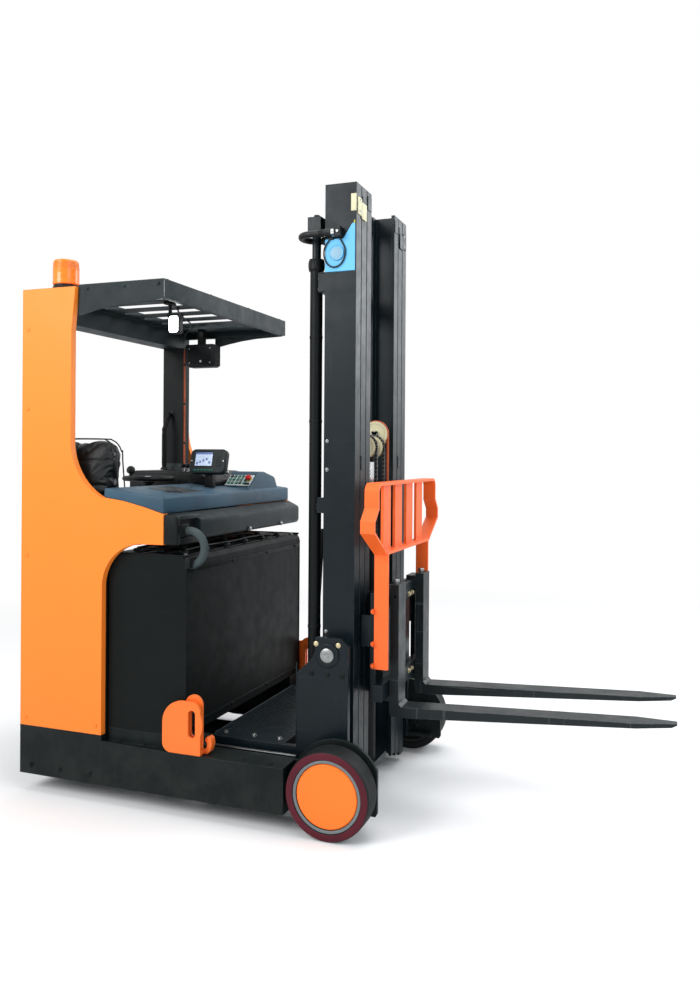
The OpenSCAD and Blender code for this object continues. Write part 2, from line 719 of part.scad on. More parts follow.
module mast_hose_loop()
    color([0.05, 0.05, 0.05]) translate([-origin_x, 0, 0]) {
        x_bar(loop_y - loop_r, loop_z, loop_hose_r, [loop_x, loop_end_x]);
        block([loop_end_x - 18, loop_end_x + 8], [-outer_y[1] - 32, -outer_y[1]],
            [loop_z - 20, loop_z + 20]);
        translate([loop_x, loop_y, loop_z]) rotate([0, 0, 90])
            rotate_extrude(angle = 180) translate([loop_r, 0]) circle(r = loop_hose_r);
        x_bar(loop_y + loop_r, loop_z, loop_hose_r, [loop_x, tie_x[0]]);
        block([tie_x[0], tie_x[0] + 20], [loop_y + loop_r - 18, loop_y + loop_r + 18],
            [upper_tie + 80, loop_z + loop_hose_r]);
    }

module mast_middle()
    color([0.10, 0.12, 0.12]) translate([-origin_x, 0, 0]) {
        pair() {
            difference() {
                block([rail_x0, rail_x1], middle_y, [rail_z0 + 20, mast_top]);
                for (y = [[middle_y[0] - 1, middle_y[0] + 24], [middle_y[1] - 24, middle_y[1] + 1]])
                    block([rail_x0 + rail_flange, rail_x1 - rail_flange], y, [0, mast_top + 1]);
            }
            for (z = [130, 420]) {
                y_bar(1415, z, 20, [middle_y[1] - 25, outer_y[0] + 8]);
                y_bar(1415, z, rail_roller_r, [outer_y[0] + 7, outer_y[0] + 40]);
            }
            block([lift_cyl[0] - 30, rail_x0 + 1], [middle_y[1] - 50, middle_y[1]], rod_head_z);
            block([lift_cyl[0] - 30, lift_cyl[0] + 30], [middle_y[1] - 50, lift_cyl[1] + 30], rod_head_z);
            z_bar(lift_cyl[0], lift_cyl[1], lift_rod_r, [380, rod_head_z[0] + 1]);
        }
        for (z = [[80, 150], [mid_tie + 80, mid_tie + 140], [mast_top - 80, mast_top]])
            block([rail_x0, rail_x0 + 12], [-middle_y[0] - 2, middle_y[0] + 2], z);
    }

module mast_inner()
    color([0.10, 0.12, 0.12]) translate([-origin_x, 0, 0]) {
        pair() {
            difference() {
                block([inner_x0, rail_x1], inner_y, [rail_z0 + 40, mast_top]);
                block([inner_x0 + inner_flange, rail_x1 - inner_flange], [inner_y[0] - 1, inner_y[1] - 12],
                    [0, mast_top + 1]);
            }
            for (z = [170, 460]) {
                y_bar(1415, z, 20, [inner_y[1] - 2, middle_y[0] + 5]);
                y_bar(1415, z, rail_roller_r, [middle_y[0] + 4, middle_y[0] + 18]);
            }
        }
        for (z = [[90, 160], [mid_tie + 10, mid_tie + 70], [mast_top - 70, mast_top]])
            block([inner_x0, inner_x0 + 12], [-inner_y[1] + 2, inner_y[1] - 2], z);
        block([inner_x0, free_x + 50], [-120, 120], [90, free_cyl_z[0]]);
    }

module free_lift_cylinder()
    color([0.08, 0.09, 0.09]) translate([-origin_x, 0, 0]) {
        difference() {
            union() {
                z_bar(free_x, 0, free_cyl_r, free_cyl_z);
                z_bar(free_x, 0, free_cyl_r + 5, [free_cyl_z[1] - 60, free_cyl_z[1]]);
            }
            z_bar(free_x, 0, free_rod_r + 4, [free_cyl_z[0] + 20, free_cyl_z[1] - 40]);
            z_bar(free_x, 0, free_rod_r + run, [free_cyl_z[1] - 41, free_cyl_z[1] + 1]);
        }
        for (s = [-1, 1]) block([inner_x0 + 12, inner_x0 + 12 + chain_t - 3],
            [s * sheave_y - chain_w / 2, s * sheave_y + chain_w / 2], [free_cyl_z[0], free_cyl_z[1] + 5]);
    }

module free_lift_head()
    color([0.86, 0.82, 0.55]) translate([-origin_x, 0, 0]) {
        z_bar(free_x, 0, free_rod_r, [500, head_z - 20]);
        block([free_x - 26, free_x + 26], [-30, 30], [head_z - 60, head_z + 20]);
        y_bar(free_x, head_z, 14, [-sheave_y - 14, sheave_y + 14]);
        block([free_x - 14, free_x + 14], [67, 79], [head_z - 14, hose_z + 14]);
        y_bar(free_x, hose_z, 14, [67, hose_sheave_y + 12]);
        for (s = [-1, 1]) y_bar(free_x, head_z, sheave_r - 6, [s * sheave_y - 14, s * sheave_y + 14]);
        y_bar(free_x, hose_z, hose_sheave_r - 4, [hose_sheave_y - 12, hose_sheave_y + 12]);
        for (s = [-1, 1]) {
            upright([s * sheave_y - chain_w / 2, s * sheave_y + chain_w / 2]) intersection() {
                difference() {
                    translate([free_x, head_z]) circle(r = sheave_r - 6 + chain_t);
                    translate([free_x, head_z]) circle(r = sheave_r - 7);
                }
                translate([free_x - 100, head_z]) square([200, 100]);
            }
            block([free_x + sheave_r - 6, free_x + sheave_r - 6 + chain_t],
                [s * sheave_y - chain_w / 2, s * sheave_y + chain_w / 2], [chain_low_z, head_z + 1]);
        }
    }

// fork carriage

module fork_carriage()
    color([0.08, 0.09, 0.09]) translate([-origin_x, 0, 0]) {
        block(bar_x, [-bar_half[0], bar_half[0]], bar_upper);
        block(bar_x, [-bar_half[1], bar_half[1]], bar_lower);
        pair() {
            block([bar_x[0] - 20, bar_x[0] + 1], [bar_half[0] - 14, bar_half[0]], [bar_lower[0], bar_upper[1]]);
            block([bar_x[0] - 60, bar_x[0] - 19], [bar_half[0] - 18, bar_half[0]], [700, 830]);
            block([1385, bar_x[0] - 10], carriage_plate, [bar_lower[0] - 10, bar_upper[1] - 20]);
            for (z = [520, 850]) {
                y_bar(free_x, z, 18, [carriage_plate[1] - 1, inner_y[0] + 6]);
                y_bar(free_x, z, carriage_roller_r, [inner_y[0] + 5, inner_y[0] + 38]);
            }
            block([1540, bar_x[0] + 1], [carriage_plate[0] - 60, carriage_plate[1] + 40], [480, 920]);
            block([1490, 1541], [sheave_y - 20, carriage_plate[0] - 55], [500, 560]);
        }
    }

module fork_outline()
    union() {
        translate([heel_x - shank_t, fork_z - blade_t + 6]) square([shank_t, shank_top - fork_z + blade_t - 6]);
        translate([heel_x - shank_t / 2, fork_z - blade_t / 2]) circle(r = blade_t / 2);
        polygon([[heel_x - shank_t / 2, fork_z - blade_t], [heel_x + 60, fork_z - blade_t],
            [heel_x + fork_l - 20, fork_z + fork_l * tan(fork_rise) - 16],
            [heel_x + fork_l, fork_z + fork_l * tan(fork_rise) - 6],
            [heel_x + fork_l, fork_z + fork_l * tan(fork_rise)], [heel_x + 12, fork_z + 12 * tan(fork_rise)],
            [heel_x - 1, fork_z + 14], [heel_x - 10, fork_z]]);
    }

module forks()
    color([0.10, 0.12, 0.12]) translate([-origin_x, 0, 0]) for (s = [-1, 1]) translate([0, s * fork_pitch / 2, 0]) {
        difference() {
            upright([-fork_w / 2, fork_w / 2]) fork_outline();
            for (e = [-1, 1]) translate([heel_x + fork_l - 150, e * fork_w / 2, 0]) rotate([0, 0, -e * 12])
                translate([0, e > 0 ? 0 : -60, fork_z - 50]) cube([200, 60, 150]);
        }
        block([bar_x[0], heel_x - shank_t + 1], [-fork_w / 2, fork_w / 2], [bar_upper[1], bar_upper[1] + 18]);
        block([bar_x[1], heel_x - shank_t + 1], [-fork_w / 2, fork_w / 2], [bar_upper[1] - 40, bar_upper[1] + 1]);
        block([bar_x[0], heel_x - shank_t + 1], [-fork_w / 2, fork_w / 2], [bar_lower[0] - 18, bar_lower[0]]);
    }

module backrest_side()
    union() {
        polygon([[rest_arm_y - 6, rest_low], [rest_arm_y + 6, rest_low], [500, 1190], [500, 1240],
            [450, 1290], [450, 1360], [438, 1378], [420, 1390], [400, 1390], [400, 1378], [415, 1378],
            [428, 1370], [438, 1356], [438, 1284], [488, 1235], [488, 1196]]);
        translate([rest_arm_y - 12, 610]) square([12, rest_low - 600]);
    }

module load_backrest()
    color([0.98, 0.40, 0.12]) translate([-origin_x, 0, 0]) {
        pair() across(rest_x) backrest_side();
        block(rest_x, [-401, 401], [rest_top - rest_strap, rest_top]);
        block(rest_x, [-rest_arm_y + 1, rest_arm_y - 1], [rest_low, rest_low + rest_strap]);
        for (y = [-250, -85, 85, 250])
            block([rest_x[0] + 20, rest_x[0] + 32], [y - 50, y + 50], [rest_low + 1, rest_top - 1]);
    }

main_frame();
support_legs();
side_panel_right();
side_panel_left();
rear_cover();
operator_floor();
seat_base();
seat_cushion();
seat_back();
guard_pillars();
overhead_guard();
grab_handle();
beacon();
work_lamp();
finned_box();
console();
console_bumper();
dashboard();
display();
button_panel();
battery();
battery_hooks();
battery_cable();
reach_cylinder();
steering_wheel();
drive_unit();
drive_wheel();
load_tyre_right();
load_hub_right();
load_tyre_left();
load_hub_left();
reach_carriage();
tilt_barrels();
tilt_rods();
mast_outer();
mast_plates();
lift_cylinders();
mast_hose_loop();
mast_middle();
mast_inner();
free_lift_cylinder();
free_lift_head();
fork_carriage();
forks();
load_backrest();
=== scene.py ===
import bpy
import bmesh
import math
import random
from mathutils import Vector, Matrix


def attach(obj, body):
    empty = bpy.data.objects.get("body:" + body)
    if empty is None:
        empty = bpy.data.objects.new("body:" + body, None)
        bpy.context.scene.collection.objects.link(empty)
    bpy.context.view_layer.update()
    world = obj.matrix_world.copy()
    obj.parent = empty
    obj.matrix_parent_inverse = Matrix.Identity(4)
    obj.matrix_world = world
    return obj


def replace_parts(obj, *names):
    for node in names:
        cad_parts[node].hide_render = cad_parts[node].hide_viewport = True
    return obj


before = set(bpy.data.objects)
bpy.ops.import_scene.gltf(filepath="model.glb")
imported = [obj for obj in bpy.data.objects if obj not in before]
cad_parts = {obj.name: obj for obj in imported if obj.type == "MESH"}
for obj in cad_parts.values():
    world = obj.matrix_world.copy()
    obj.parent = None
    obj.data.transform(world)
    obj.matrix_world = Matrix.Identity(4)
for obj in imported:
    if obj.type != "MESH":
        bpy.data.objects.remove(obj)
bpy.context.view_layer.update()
random.seed(7)

OX = 1.3725
TAU = 2 * math.pi
TRUCK = Matrix.Translation((-OX, 0, 0)) @ Matrix.Scale(0.001, 4)


def P(x, y, z):
    """A point written from the truck's rear face, in metres."""
    return Vector((x - OX, y, z))


# materials

def rgb(r, g, b):
    """0-255 screen colour to a linear one."""
    def lin(c):
        c /= 255
        return c / 12.92 if c <= 0.04045 else ((c + 0.055) / 1.055) ** 2.4
    return (lin(r), lin(g), lin(b), 1)


class Mat:
    def __init__(self, name):
        self.m = bpy.data.materials.new(name)
        self.m.use_nodes = True
        self.t = self.m.node_tree
        self.t.nodes.clear()
        self.out = self.n("ShaderNodeOutputMaterial")
        self.p = self.n("ShaderNodeBsdfPrincipled")
        self.l(self.p.outputs[0], self.out.inputs["Surface"])
        self.co = self.n("ShaderNodeTexCoord").outputs["Object"]
        self.m.diffuse_color = (0.5, 0.5, 0.5, 1)

    def n(self, kind, **kw):
        node = self.t.nodes.new(kind)
        for k, v in kw.items():
            setattr(node, k, v)
        return node

    def l(self, a, b):
        self.t.links.new(a, b)

    def noise(self, scale, detail=4, rough=0.6, co=None, stretch=None):
        x = self.n("ShaderNodeTexNoise")
        x.inputs["Scale"].default_value = scale
        x.inputs["Detail"].default_value = detail
        x.inputs["Roughness"].default_value = rough
        src = co or self.co
        if stretch:
            mp = self.n("ShaderNodeMapping")
            mp.inputs["Scale"].default_value = stretch
            self.l(src, mp.inputs[0])
            src = mp.outputs[0]
        self.l(src, x.inputs["Vector"])
        return x.outputs[0]

    def ramp(self, fac, lo, hi, a=0.0, b=1.0):
        r = self.n("ShaderNodeMapRange")
        r.clamp = True
        for i, v in enumerate((lo, hi, a, b)):
            r.inputs[i + 1].default_value = v
        self.l(fac, r.inputs[0])
        return r.outputs[0]

    def mix(self, fac, a, b):
        x = self.n("ShaderNodeMix", data_type="RGBA")
        self.put(fac, x.inputs[0])
        self.put(a, x.inputs[6])
        self.put(b, x.inputs[7])
        return x.outputs[2]

    def put(self, v, socket):
        if isinstance(v, bpy.types.NodeSocket):
            self.l(v, socket)
        else:
            socket.default_value = v

    def math(self, op, a, b=0.0):
        x = self.n("ShaderNodeMath", operation=op)
        self.put(a, x.inputs[0])
        self.put(b, x.inputs[1])
        return x.outputs[0]

    def bump(self, height, strength=0.2, dist=0.001, normal=None):
        x = self.n("ShaderNodeBump")
        x.inputs["Strength"].default_value = strength
        x.inputs["Distance"].default_value = dist
        self.l(height, x.inputs["Height"])
        if normal:
            self.l(normal, x.inputs["Normal"])
        return x.outputs[0]

    def edge(self, radius=0.003, samples=4):
        x = self.n("ShaderNodeBevel")
        x.samples = samples
        x.inputs["Radius"].default_value = radius
        return x.outputs[0]

    def edge_wear_and_highlight(self, radius=0.004, lo=0.02, hi=0.14):
        """Mask for edge wear and a painted edge highlight: bright only where the surface turns a corner."""
        dot = self.n("ShaderNodeVectorMath", operation="DOT_PRODUCT")
        geo = self.n("ShaderNodeNewGeometry")
        self.l(self.edge(radius), dot.inputs[0])
        self.l(geo.outputs["Normal"], dot.inputs[1])
        return self.ramp(self.math("SUBTRACT", 1.0, dot.outputs["Value"]), lo, hi)

    def z(self):
        s = self.n("ShaderNodeSeparateXYZ")
        self.l(self.co, s.inputs[0])
        return s.outputs[2]


def paint(name, base, dark=0.75, rough=0.4, peel=0.12, wear_and_highlight_col=None, wear_and_highlight_amt=0.6, dust=None, dust_amt=0.0,
          scratch=0.0, spec=0.14, top=None, coat=0.0, round_edges=0.003):
    """Painted or coated steel: tone drift, orange peel, edge wear mixed with a painted edge highlight, dust low down,
    fine scratches, and an optional painted highlight towards the top.
    """
    m = Mat(name)
    drift = m.ramp(m.noise(2.3, 5), 0.35, 0.68)
    col = m.mix(drift, tuple(c * dark for c in base[:3]) + (1,), base)
    # top: painted highlight, the colour grows lighter towards the top where the light from above falls
    if top:
        col = m.mix(m.ramp(m.z(), 0.35, 2.1), col, top)
    if dust:
        low = m.ramp(m.z(), 0.9, 0.05)
        dn = m.ramp(m.noise(9, 8, 0.75), 0.42, 0.7)
        col = m.mix(m.math("MULTIPLY", m.math("MULTIPLY", low, dn), dust_amt), col, dust)
    r = m.math("ADD", m.math("MULTIPLY", m.ramp(m.noise(14, 6), 0.3, 0.7), 0.16), rough - 0.06)
    if scratch:
        line = m.ramp(m.noise(60, 2, 0.5, stretch=(0.04, 1, 1)), 0.66, 0.7)
        line2 = m.ramp(m.noise(70, 2, 0.5, stretch=(1, 1, 0.05)), 0.67, 0.71)
        both = m.math("MULTIPLY", m.math("ADD", line, line2), scratch)
        col = m.mix(both, col, wear_and_highlight_col or (0.3, 0.3, 0.3, 1))
    # edge colour: real edge wear mixed with a painted edge highlight, on most finishes a lighter shade of the same hue
    if wear_and_highlight_col:
        w = m.math("MULTIPLY", m.edge_wear_and_highlight(), m.ramp(m.noise(26, 6, 0.7), 0.40, 0.62))
        col = m.mix(m.math("MULTIPLY", w, wear_and_highlight_amt), col, wear_and_highlight_col)
    m.l(col, m.p.inputs["Base Color"])
    m.l(r, m.p.inputs["Roughness"])
    m.p.inputs["Specular IOR Level"].default_value = spec
    m.p.inputs["Coat Weight"].default_value = coat
    m.p.inputs["Coat Roughness"].default_value = 0.18
    h = m.math("ADD", m.noise(260, 2), m.math("MULTIPLY", m.noise(40, 3), 0.8))
    m.l(m.bump(h, peel, 0.0006, m.edge(round_edges)), m.p.inputs["Normal"])
    return m.m


def grain(name, base, rough=0.55, size=420, depth=0.35, dark=0.7, wear_and_highlight_col=None, edges=0.004, spec=0.16):
    """Moulded plastic or rubber with a leathery grain."""
    m = Mat(name)
    v = m.n("ShaderNodeTexVoronoi")
    v.inputs["Scale"].default_value = size
    m.l(m.co, v.inputs["Vector"])
    col = m.mix(m.ramp(m.noise(5, 5), 0.35, 0.7), tuple(c * dark for c in base[:3]) + (1,), base)
    # edge colour: real edge wear mixed with a painted edge highlight along the corners
    if wear_and_highlight_col:
        col = m.mix(m.math("MULTIPLY", m.edge_wear_and_highlight(0.005), 0.5), col, wear_and_highlight_col)
    m.l(col, m.p.inputs["Base Color"])
    m.l(m.math("ADD", m.math("MULTIPLY", m.ramp(m.noise(20, 4), 0.3, 0.7), 0.14), rough - 0.05), m.p.inputs["Roughness"])
    m.p.inputs["Specular IOR Level"].default_value = spec
    m.l(m.bump(m.math("ADD", v.outputs[0], m.math("MULTIPLY", m.noise(60, 3), 0.4)), depth, 0.0004, m.edge(edges)),
        m.p.inputs["Normal"])
    return m.m


def metal(name, base, rough=0.25, brush=(1, 1, 1), depth=0.08):
    m = Mat(name)
    n = m.noise(120, 4, 0.6, stretch=brush)
    m.l(m.mix(m.ramp(m.noise(6, 5), 0.35, 0.7), tuple(c * 0.8 for c in base[:3]) + (1,), base), m.p.inputs["Base Color"])
    m.p.inputs["Metallic"].default_value = 1
    m.l(m.math("ADD", m.math("MULTIPLY", n, 0.22), rough - 0.08), m.p.inputs["Roughness"])
    m.l(m.bump(n, depth, 0.0003, m.edge(0.0015)), m.p.inputs["Normal"])
    return m.m


def glow(name, base, strength):
    m = Mat(name)
    cell = m.n("ShaderNodeTexVoronoi")
    cell.inputs["Scale"].default_value = 90
    m.l(m.co, cell.inputs["Vector"])
    c = m.mix(m.ramp(cell.outputs[0], 0.2, 0.7), base, tuple(x * 0.8 for x in base[:3]) + (1,))
    m.l(c, m.p.inputs["Base Color"])
    m.l(c, m.p.inputs["Emission Color"])
    m.p.inputs["Emission Strength"].default_value = strength
    m.p.inputs["Roughness"].default_value = 0.2
    return m.m


GREEN_BLACK = rgb(30, 38, 38)
M = {}
# worn= colours: edge wear mixed with a painted edge highlight along the corners
M["chassis"] = paint("chassis_paint", rgb(15, 22, 22), rough=0.42, wear_and_highlight_col=rgb(70, 76, 74), dust=rgb(60, 66, 62), dust_amt=0.22,
                     scratch=0.05, wear_and_highlight_amt=0.5)
# orange panels: painted highlight lighter towards the top (top=), plus the painted edge highlight in worn=
M["orange"] = paint("orange_panel", rgb(244, 124, 36), dark=0.95, rough=0.42, peel=0.1, top=rgb(246, 134, 42), spec=0.3,
                    wear_and_highlight_col=rgb(255, 176, 110), wear_and_highlight_amt=0.25, round_edges=0.006)
M["black"] = paint("black_steel", rgb(14, 18, 19), rough=0.44, wear_and_highlight_col=rgb(70, 74, 72), scratch=0.04, wear_and_highlight_amt=0.4)
M["guard"] = paint("guard_paint", rgb(30, 40, 42), rough=0.44, wear_and_highlight_col=rgb(110, 130, 136), wear_and_highlight_amt=0.6, round_edges=0.004)
M["mast"] = paint("mast_paint", rgb(11, 23, 28), dark=0.7, rough=0.36, wear_and_highlight_col=rgb(70, 86, 90), wear_and_highlight_amt=0.7, scratch=0.05, spec=0.2)
M["fork"] = paint("fork_paint", rgb(24, 31, 33), dark=0.7, rough=0.38, wear_and_highlight_col=rgb(110, 118, 118), wear_and_highlight_amt=0.8, scratch=0.18, spec=0.22)
M["battery"] = paint("battery_steel", rgb(13, 18, 18), dark=0.7, rough=0.48, wear_and_highlight_col=rgb(48, 56, 55), scratch=0.03, spec=0.1, wear_and_highlight_amt=0.4)
M["backrest"] = paint("backrest_paint", rgb(250, 108, 44), dark=0.88, rough=0.4, wear_and_highlight_col=rgb(255, 150, 90), wear_and_highlight_amt=0.5, spec=0.3)
M["hook"] = paint("hook_paint", rgb(240, 112, 40), dark=0.87, rough=0.4, wear_and_highlight_col=rgb(150, 80, 45), wear_and_highlight_amt=0.4, spec=0.3)
M["blue"] = paint("blue_plate", rgb(106, 186, 232), dark=0.92, rough=0.45, spec=0.2)
M["console"] = grain("console_plastic", rgb(50, 80, 98), rough=0.5, wear_and_highlight_col=rgb(130, 150, 170), edges=0.008, spec=0.3)
M["bumper"] = grain("bumper_plastic", rgb(26, 36, 38), rough=0.48, wear_and_highlight_col=rgb(88, 98, 100), edges=0.006, spec=0.25)
M["plastic"] = grain("black_plastic", rgb(16, 18, 20), rough=0.46, wear_and_highlight_col=rgb(60, 64, 66), edges=0.006, spec=0.2)
M["rubber"] = grain("rubber_mat", rgb(16, 17, 17), rough=0.7, size=300, depth=0.3)
M["vinyl"] = grain("seat_vinyl", rgb(9, 15, 16), rough=0.36, size=520, depth=0.5, spec=0.35)
M["grip"] = grain("handle_grip", rgb(16, 17, 18), rough=0.6)
M["cable"] = grain("cable_sheath", rgb(62, 72, 74), rough=0.5, size=200, depth=0.15)
M["hose"] = grain("hose_rubber", rgb(15, 19, 20), rough=0.45, size=260, depth=0.2, spec=0.3)
M["red_hose"] = grain("red_hose", rgb(186, 92, 56), rough=0.5, size=260, depth=0.2)
M["tyre"] = grain("load_tyre", rgb(20, 24, 24), rough=0.6, size=160, depth=0.35, spec=0.2)
M["burgundy"] = grain("tyre_band", rgb(86, 26, 38), rough=0.45, size=160, depth=0.2)
M["drive_tyre"] = grain("drive_tyre", rgb(110, 40, 30), rough=0.5, size=160, depth=0.25)
M["boss"] = paint("boss_paint", rgb(140, 180, 202), rough=0.4, spec=0.3)
M["ring"] = paint("wheel_ring", rgb(104, 114, 116), rough=0.34, wear_and_highlight_col=rgb(170, 175, 175), spec=0.4)
M["disc"] = paint("hub_paint", rgb(252, 118, 34), dark=0.94, rough=0.38, peel=0.12, spec=0.3)
M["casting"] = paint("drive_metal", rgb(40, 43, 43), rough=0.55, peel=0.5)
M["chrome"] = metal("rod_chrome", (0.72, 0.73, 0.74, 1), 0.16)
M["steel"] = metal("steel_fixings", (0.3, 0.31, 0.31, 1), 0.34)
M["zinc"] = metal("yellow_zinc", (0.62, 0.54, 0.34, 1), 0.34)
M["chain"] = metal("chain_steel", (0.06, 0.06, 0.06, 1), 0.42)
M["cream"] = grain("cream_plastic", rgb(220, 214, 178), rough=0.5, size=120, depth=0.15, dark=0.9)
M["yellow"] = grain("yellow_plastic", rgb(196, 190, 80), rough=0.5, size=120, depth=0.15)
M["amber"] = grain("beacon_lens", rgb(255, 128, 20), rough=0.2, size=60, depth=0.1, dark=0.9, spec=0.5)
M["lamp"] = glow("lamp_face", (0.95, 1.0, 0.95, 1), 6.0)
M["screen"] = glow("display_screen", rgb(180, 196, 220), 0.5)
M["screen_dark"] = glow("display_marks", rgb(100, 120, 170), 0.3)
M["pale"] = grain("key_plate", rgb(196, 206, 204), rough=0.4, size=300, depth=0.1, dark=0.92)
M["green"] = grain("green_keys", rgb(24, 112, 92), rough=0.4, size=300, depth=0.1)
M["red"] = grain("stop_button", rgb(214, 44, 36), rough=0.35, size=200, depth=0.1)

NODE_MAT = {
    "main_frame": "chassis", "support_legs": "chassis", "side_panel_right": "orange", "side_panel_left": "orange",
    "rear_cover": "black", "operator_floor": "rubber", "seat_base": "black", "seat_cushion": "vinyl", "seat_back": "vinyl",
    "guard_pillars": "black", "overhead_guard": "guard", "grab_handle": "grip", "beacon": "amber", "work_lamp": "black",
    "finned_box": "plastic", "console": "console", "console_bumper": "bumper", "dashboard": "plastic", "display": "plastic",
    "button_panel": "pale", "battery": "battery", "battery_hooks": "hook", "battery_cable": "cable", "reach_cylinder": "black",
    "steering_wheel": "plastic", "drive_unit": "casting", "drive_wheel": "drive_tyre", "load_tyre_right": "tyre",
    "load_hub_right": "disc", "load_tyre_left": "tyre", "load_hub_left": "disc", "reach_carriage": "mast",
    "tilt_barrels": "black", "tilt_rods": "chrome", "mast_outer": "mast", "mast_plates": "blue", "lift_cylinders": "black",
    "mast_hose_loop": "hose", "mast_middle": "mast", "mast_inner": "mast", "free_lift_cylinder": "black",
    "free_lift_head": "chrome", "fork_carriage": "mast", "forks": "fork", "load_backrest": "backrest"}
for node, key in NODE_MAT.items():
    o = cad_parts.get(node)
    if o is None:
        continue
    o.data.materials.clear()
    o.data.materials.append(M[key])


# mesh building

class Build:
    """Collects shapes, in millimetres from the truck's rear face, into one mesh."""

    def __init__(self, name, slot, body):
        self.name, self.slot, self.body = name, slot, body
        self.bm = bmesh.new()
        self.mats = []

    def mi(self, key):
        if key not in self.mats:
            self.mats.append(key)
        return self.mats.index(key)

    def add(self, bm2, key, smooth=True, xf=None):
        me = bpy.data.meshes.new("t")
        bm2.transform(xf or Matrix.Identity(4))
        bm2.to_mesh(me)
        bm2.free()
        n0 = len(self.bm.faces)
        self.bm.from_mesh(me)
        bpy.data.meshes.remove(me)
        self.bm.faces.ensure_lookup_table()
        i = self.mi(key)
        for f in self.bm.faces[n0:]:
            f.material_index = i
            f.smooth = smooth
        return self

    def box(self, lo, hi, key, bev=2, seg=2, xf=None):
        b = bmesh.new()
        bmesh.ops.create_cube(b, size=1)
        lo, hi = Vector(lo), Vector(hi)
        s = hi - lo
        b.transform(Matrix.Translation((lo + hi) / 2) @ Matrix.Diagonal((*s, 1)))
        if bev:
            bmesh.ops.bevel(b, geom=b.edges[:], offset=min(bev, min(s) * 0.45), segments=seg, profile=0.5, affect="EDGES")
        return self.add(b, key, seg > 1, xf)

    def lathe(self, prof, key, at=(0, 0, 0), axis="z", n=48, xf=None, keys=None):
        """prof: (radius, height) pairs, turned about the axis through at."""
        b = bmesh.new()
        rings = []
        for r, h in prof:
            if r < 1e-6:
                rings.append([b.verts.new((0, 0, h))])
            else:
                rings.append([b.verts.new((r * math.cos(TAU * k / n), r * math.sin(TAU * k / n), h)) for k in range(n)])
        tags = []
        for j in range(len(rings) - 1):
            a, c = rings[j], rings[j + 1]
            for k in range(n):
                k2 = (k + 1) % n
                if len(a) == 1 and len(c) == 1:
                    continue
                if len(a) == 1:
                    f = b.faces.new((a[0], c[k2], c[k]))
                elif len(c) == 1:
                    f = b.faces.new((a[k], a[k2], c[0]))
                else:
                    f = b.faces.new((a[k], a[k2], c[k2], c[k]))
                tags.append(j)
        bmesh.ops.recalc_face_normals(b, faces=b.faces[:])
        rot = {"z": Matrix.Identity(4), "y": Matrix.Rotation(math.radians(-90), 4, "X"),
               "x": Matrix.Rotation(math.radians(90), 4, "Y")}[axis]
        b.transform(Matrix.Translation(Vector(at)) @ rot)
        n0 = len(self.bm.faces)
        self.add(b, key, True, xf)
        if keys:
            self.bm.faces.ensure_lookup_table()
            for f, j in zip(self.bm.faces[n0:], tags):
                f.material_index = self.mi(keys[min(j, len(keys) - 1)])
        return self

    def rod(self, p0, p1, r, key, n=24, bev=1.5):
        p0, p1 = Vector(p0), Vector(p1)
        d = p1 - p0
        h = d.length
        e = min(bev, r * 0.4, h * 0.3)
        q = Vector((0, 0, 1)).rotation_difference(d.normalized()).to_matrix().to_4x4()
        return self.lathe([(0, 0), (r - e, 0), (r, e), (r, h - e), (r - e, h), (0, h)], key, n=n,
                          xf=Matrix.Translation(p0) @ q)

    def tube(self, pts, r, key, n=12, steps=8, closed=False):
        """A round tube along a smooth curve through the points."""
        pts = [Vector(p) for p in pts]
        path = []
        m = len(pts)
        span = m if closed else m - 1
        for i in range(span):
            g = (lambda k: pts[k % m]) if closed else (lambda k: pts[max(0, min(m - 1, k))])
            a, b_, c, d = g(i - 1), g(i), g(i + 1), g(i + 2)
            for s in range(steps):
                t = s / steps
                path.append(0.5 * ((2 * b_) + (c - a) * t + (2 * a - 5 * b_ + 4 * c - d) * t * t
                                   + (3 * b_ - a - 3 * c + d) * t ** 3))
        if not closed:
            path.append(pts[-1])
        b = bmesh.new()
        rings = []
        up = Vector((0, 0, 1))
        for i, p in enumerate(path):
            q = path[(i + 1) % len(path)] if (closed or i < len(path) - 1) else p
            o = path[i - 1] if (closed or i > 0) else p
            t = (q - o).normalized()
            if abs(t.dot(up)) > 0.95:
                up = Vector((0, 1, 0)) if abs(t.y) < 0.9 else Vector((1, 0, 0))
            s = t.cross(up).normalized()
            up = s.cross(t).normalized()
            rings.append([b.verts.new(p + r * (math.cos(TAU * k / n) * s + math.sin(TAU * k / n) * up)) for k in range(n)])
        cnt = len(rings) if closed else len(rings) - 1
        for i in range(cnt):
            a, c = rings[i], rings[(i + 1) % len(rings)]
            for k in range(n):
                b.faces.new((a[k], a[(k + 1) % n], c[(k + 1) % n], c[k]))
        if not closed:
            b.faces.new(rings[0][::-1])
            b.faces.new(rings[-1])
        bmesh.ops.recalc_face_normals(b, faces=b.faces[:])
        return self.add(b, key)

    def prism(self, pts, lo, hi, key, plane="xz", bev=2, seg=2, xf=None):
        """An outline drawn in a plane, made solid between two values of the third axis."""
        b = bmesh.new()
        put = {"xz": lambda u, v, w: (u, w, v), "yz": lambda u, v, w: (w, u, v), "xy": lambda u, v, w: (u, v, w)}[plane]
        f = b.faces.new([b.verts.new(put(u, v, lo)) for u, v in pts])
        g = bmesh.ops.extrude_face_region(b, geom=[f])
        d = Vector(put(0, 0, hi - lo))
        bmesh.ops.translate(b, verts=[v for v in g["geom"] if isinstance(v, bmesh.types.BMVert)], vec=d)
        bmesh.ops.recalc_face_normals(b, faces=b.faces[:])
        if bev:
            sharp = [e for e in b.edges if e.calc_face_angle(0) > 0.5]
            bmesh.ops.bevel(b, geom=sharp, offset=bev, segments=seg, profile=0.5, affect="EDGES", clamp_overlap=True)
        return self.add(b, key, True, xf)

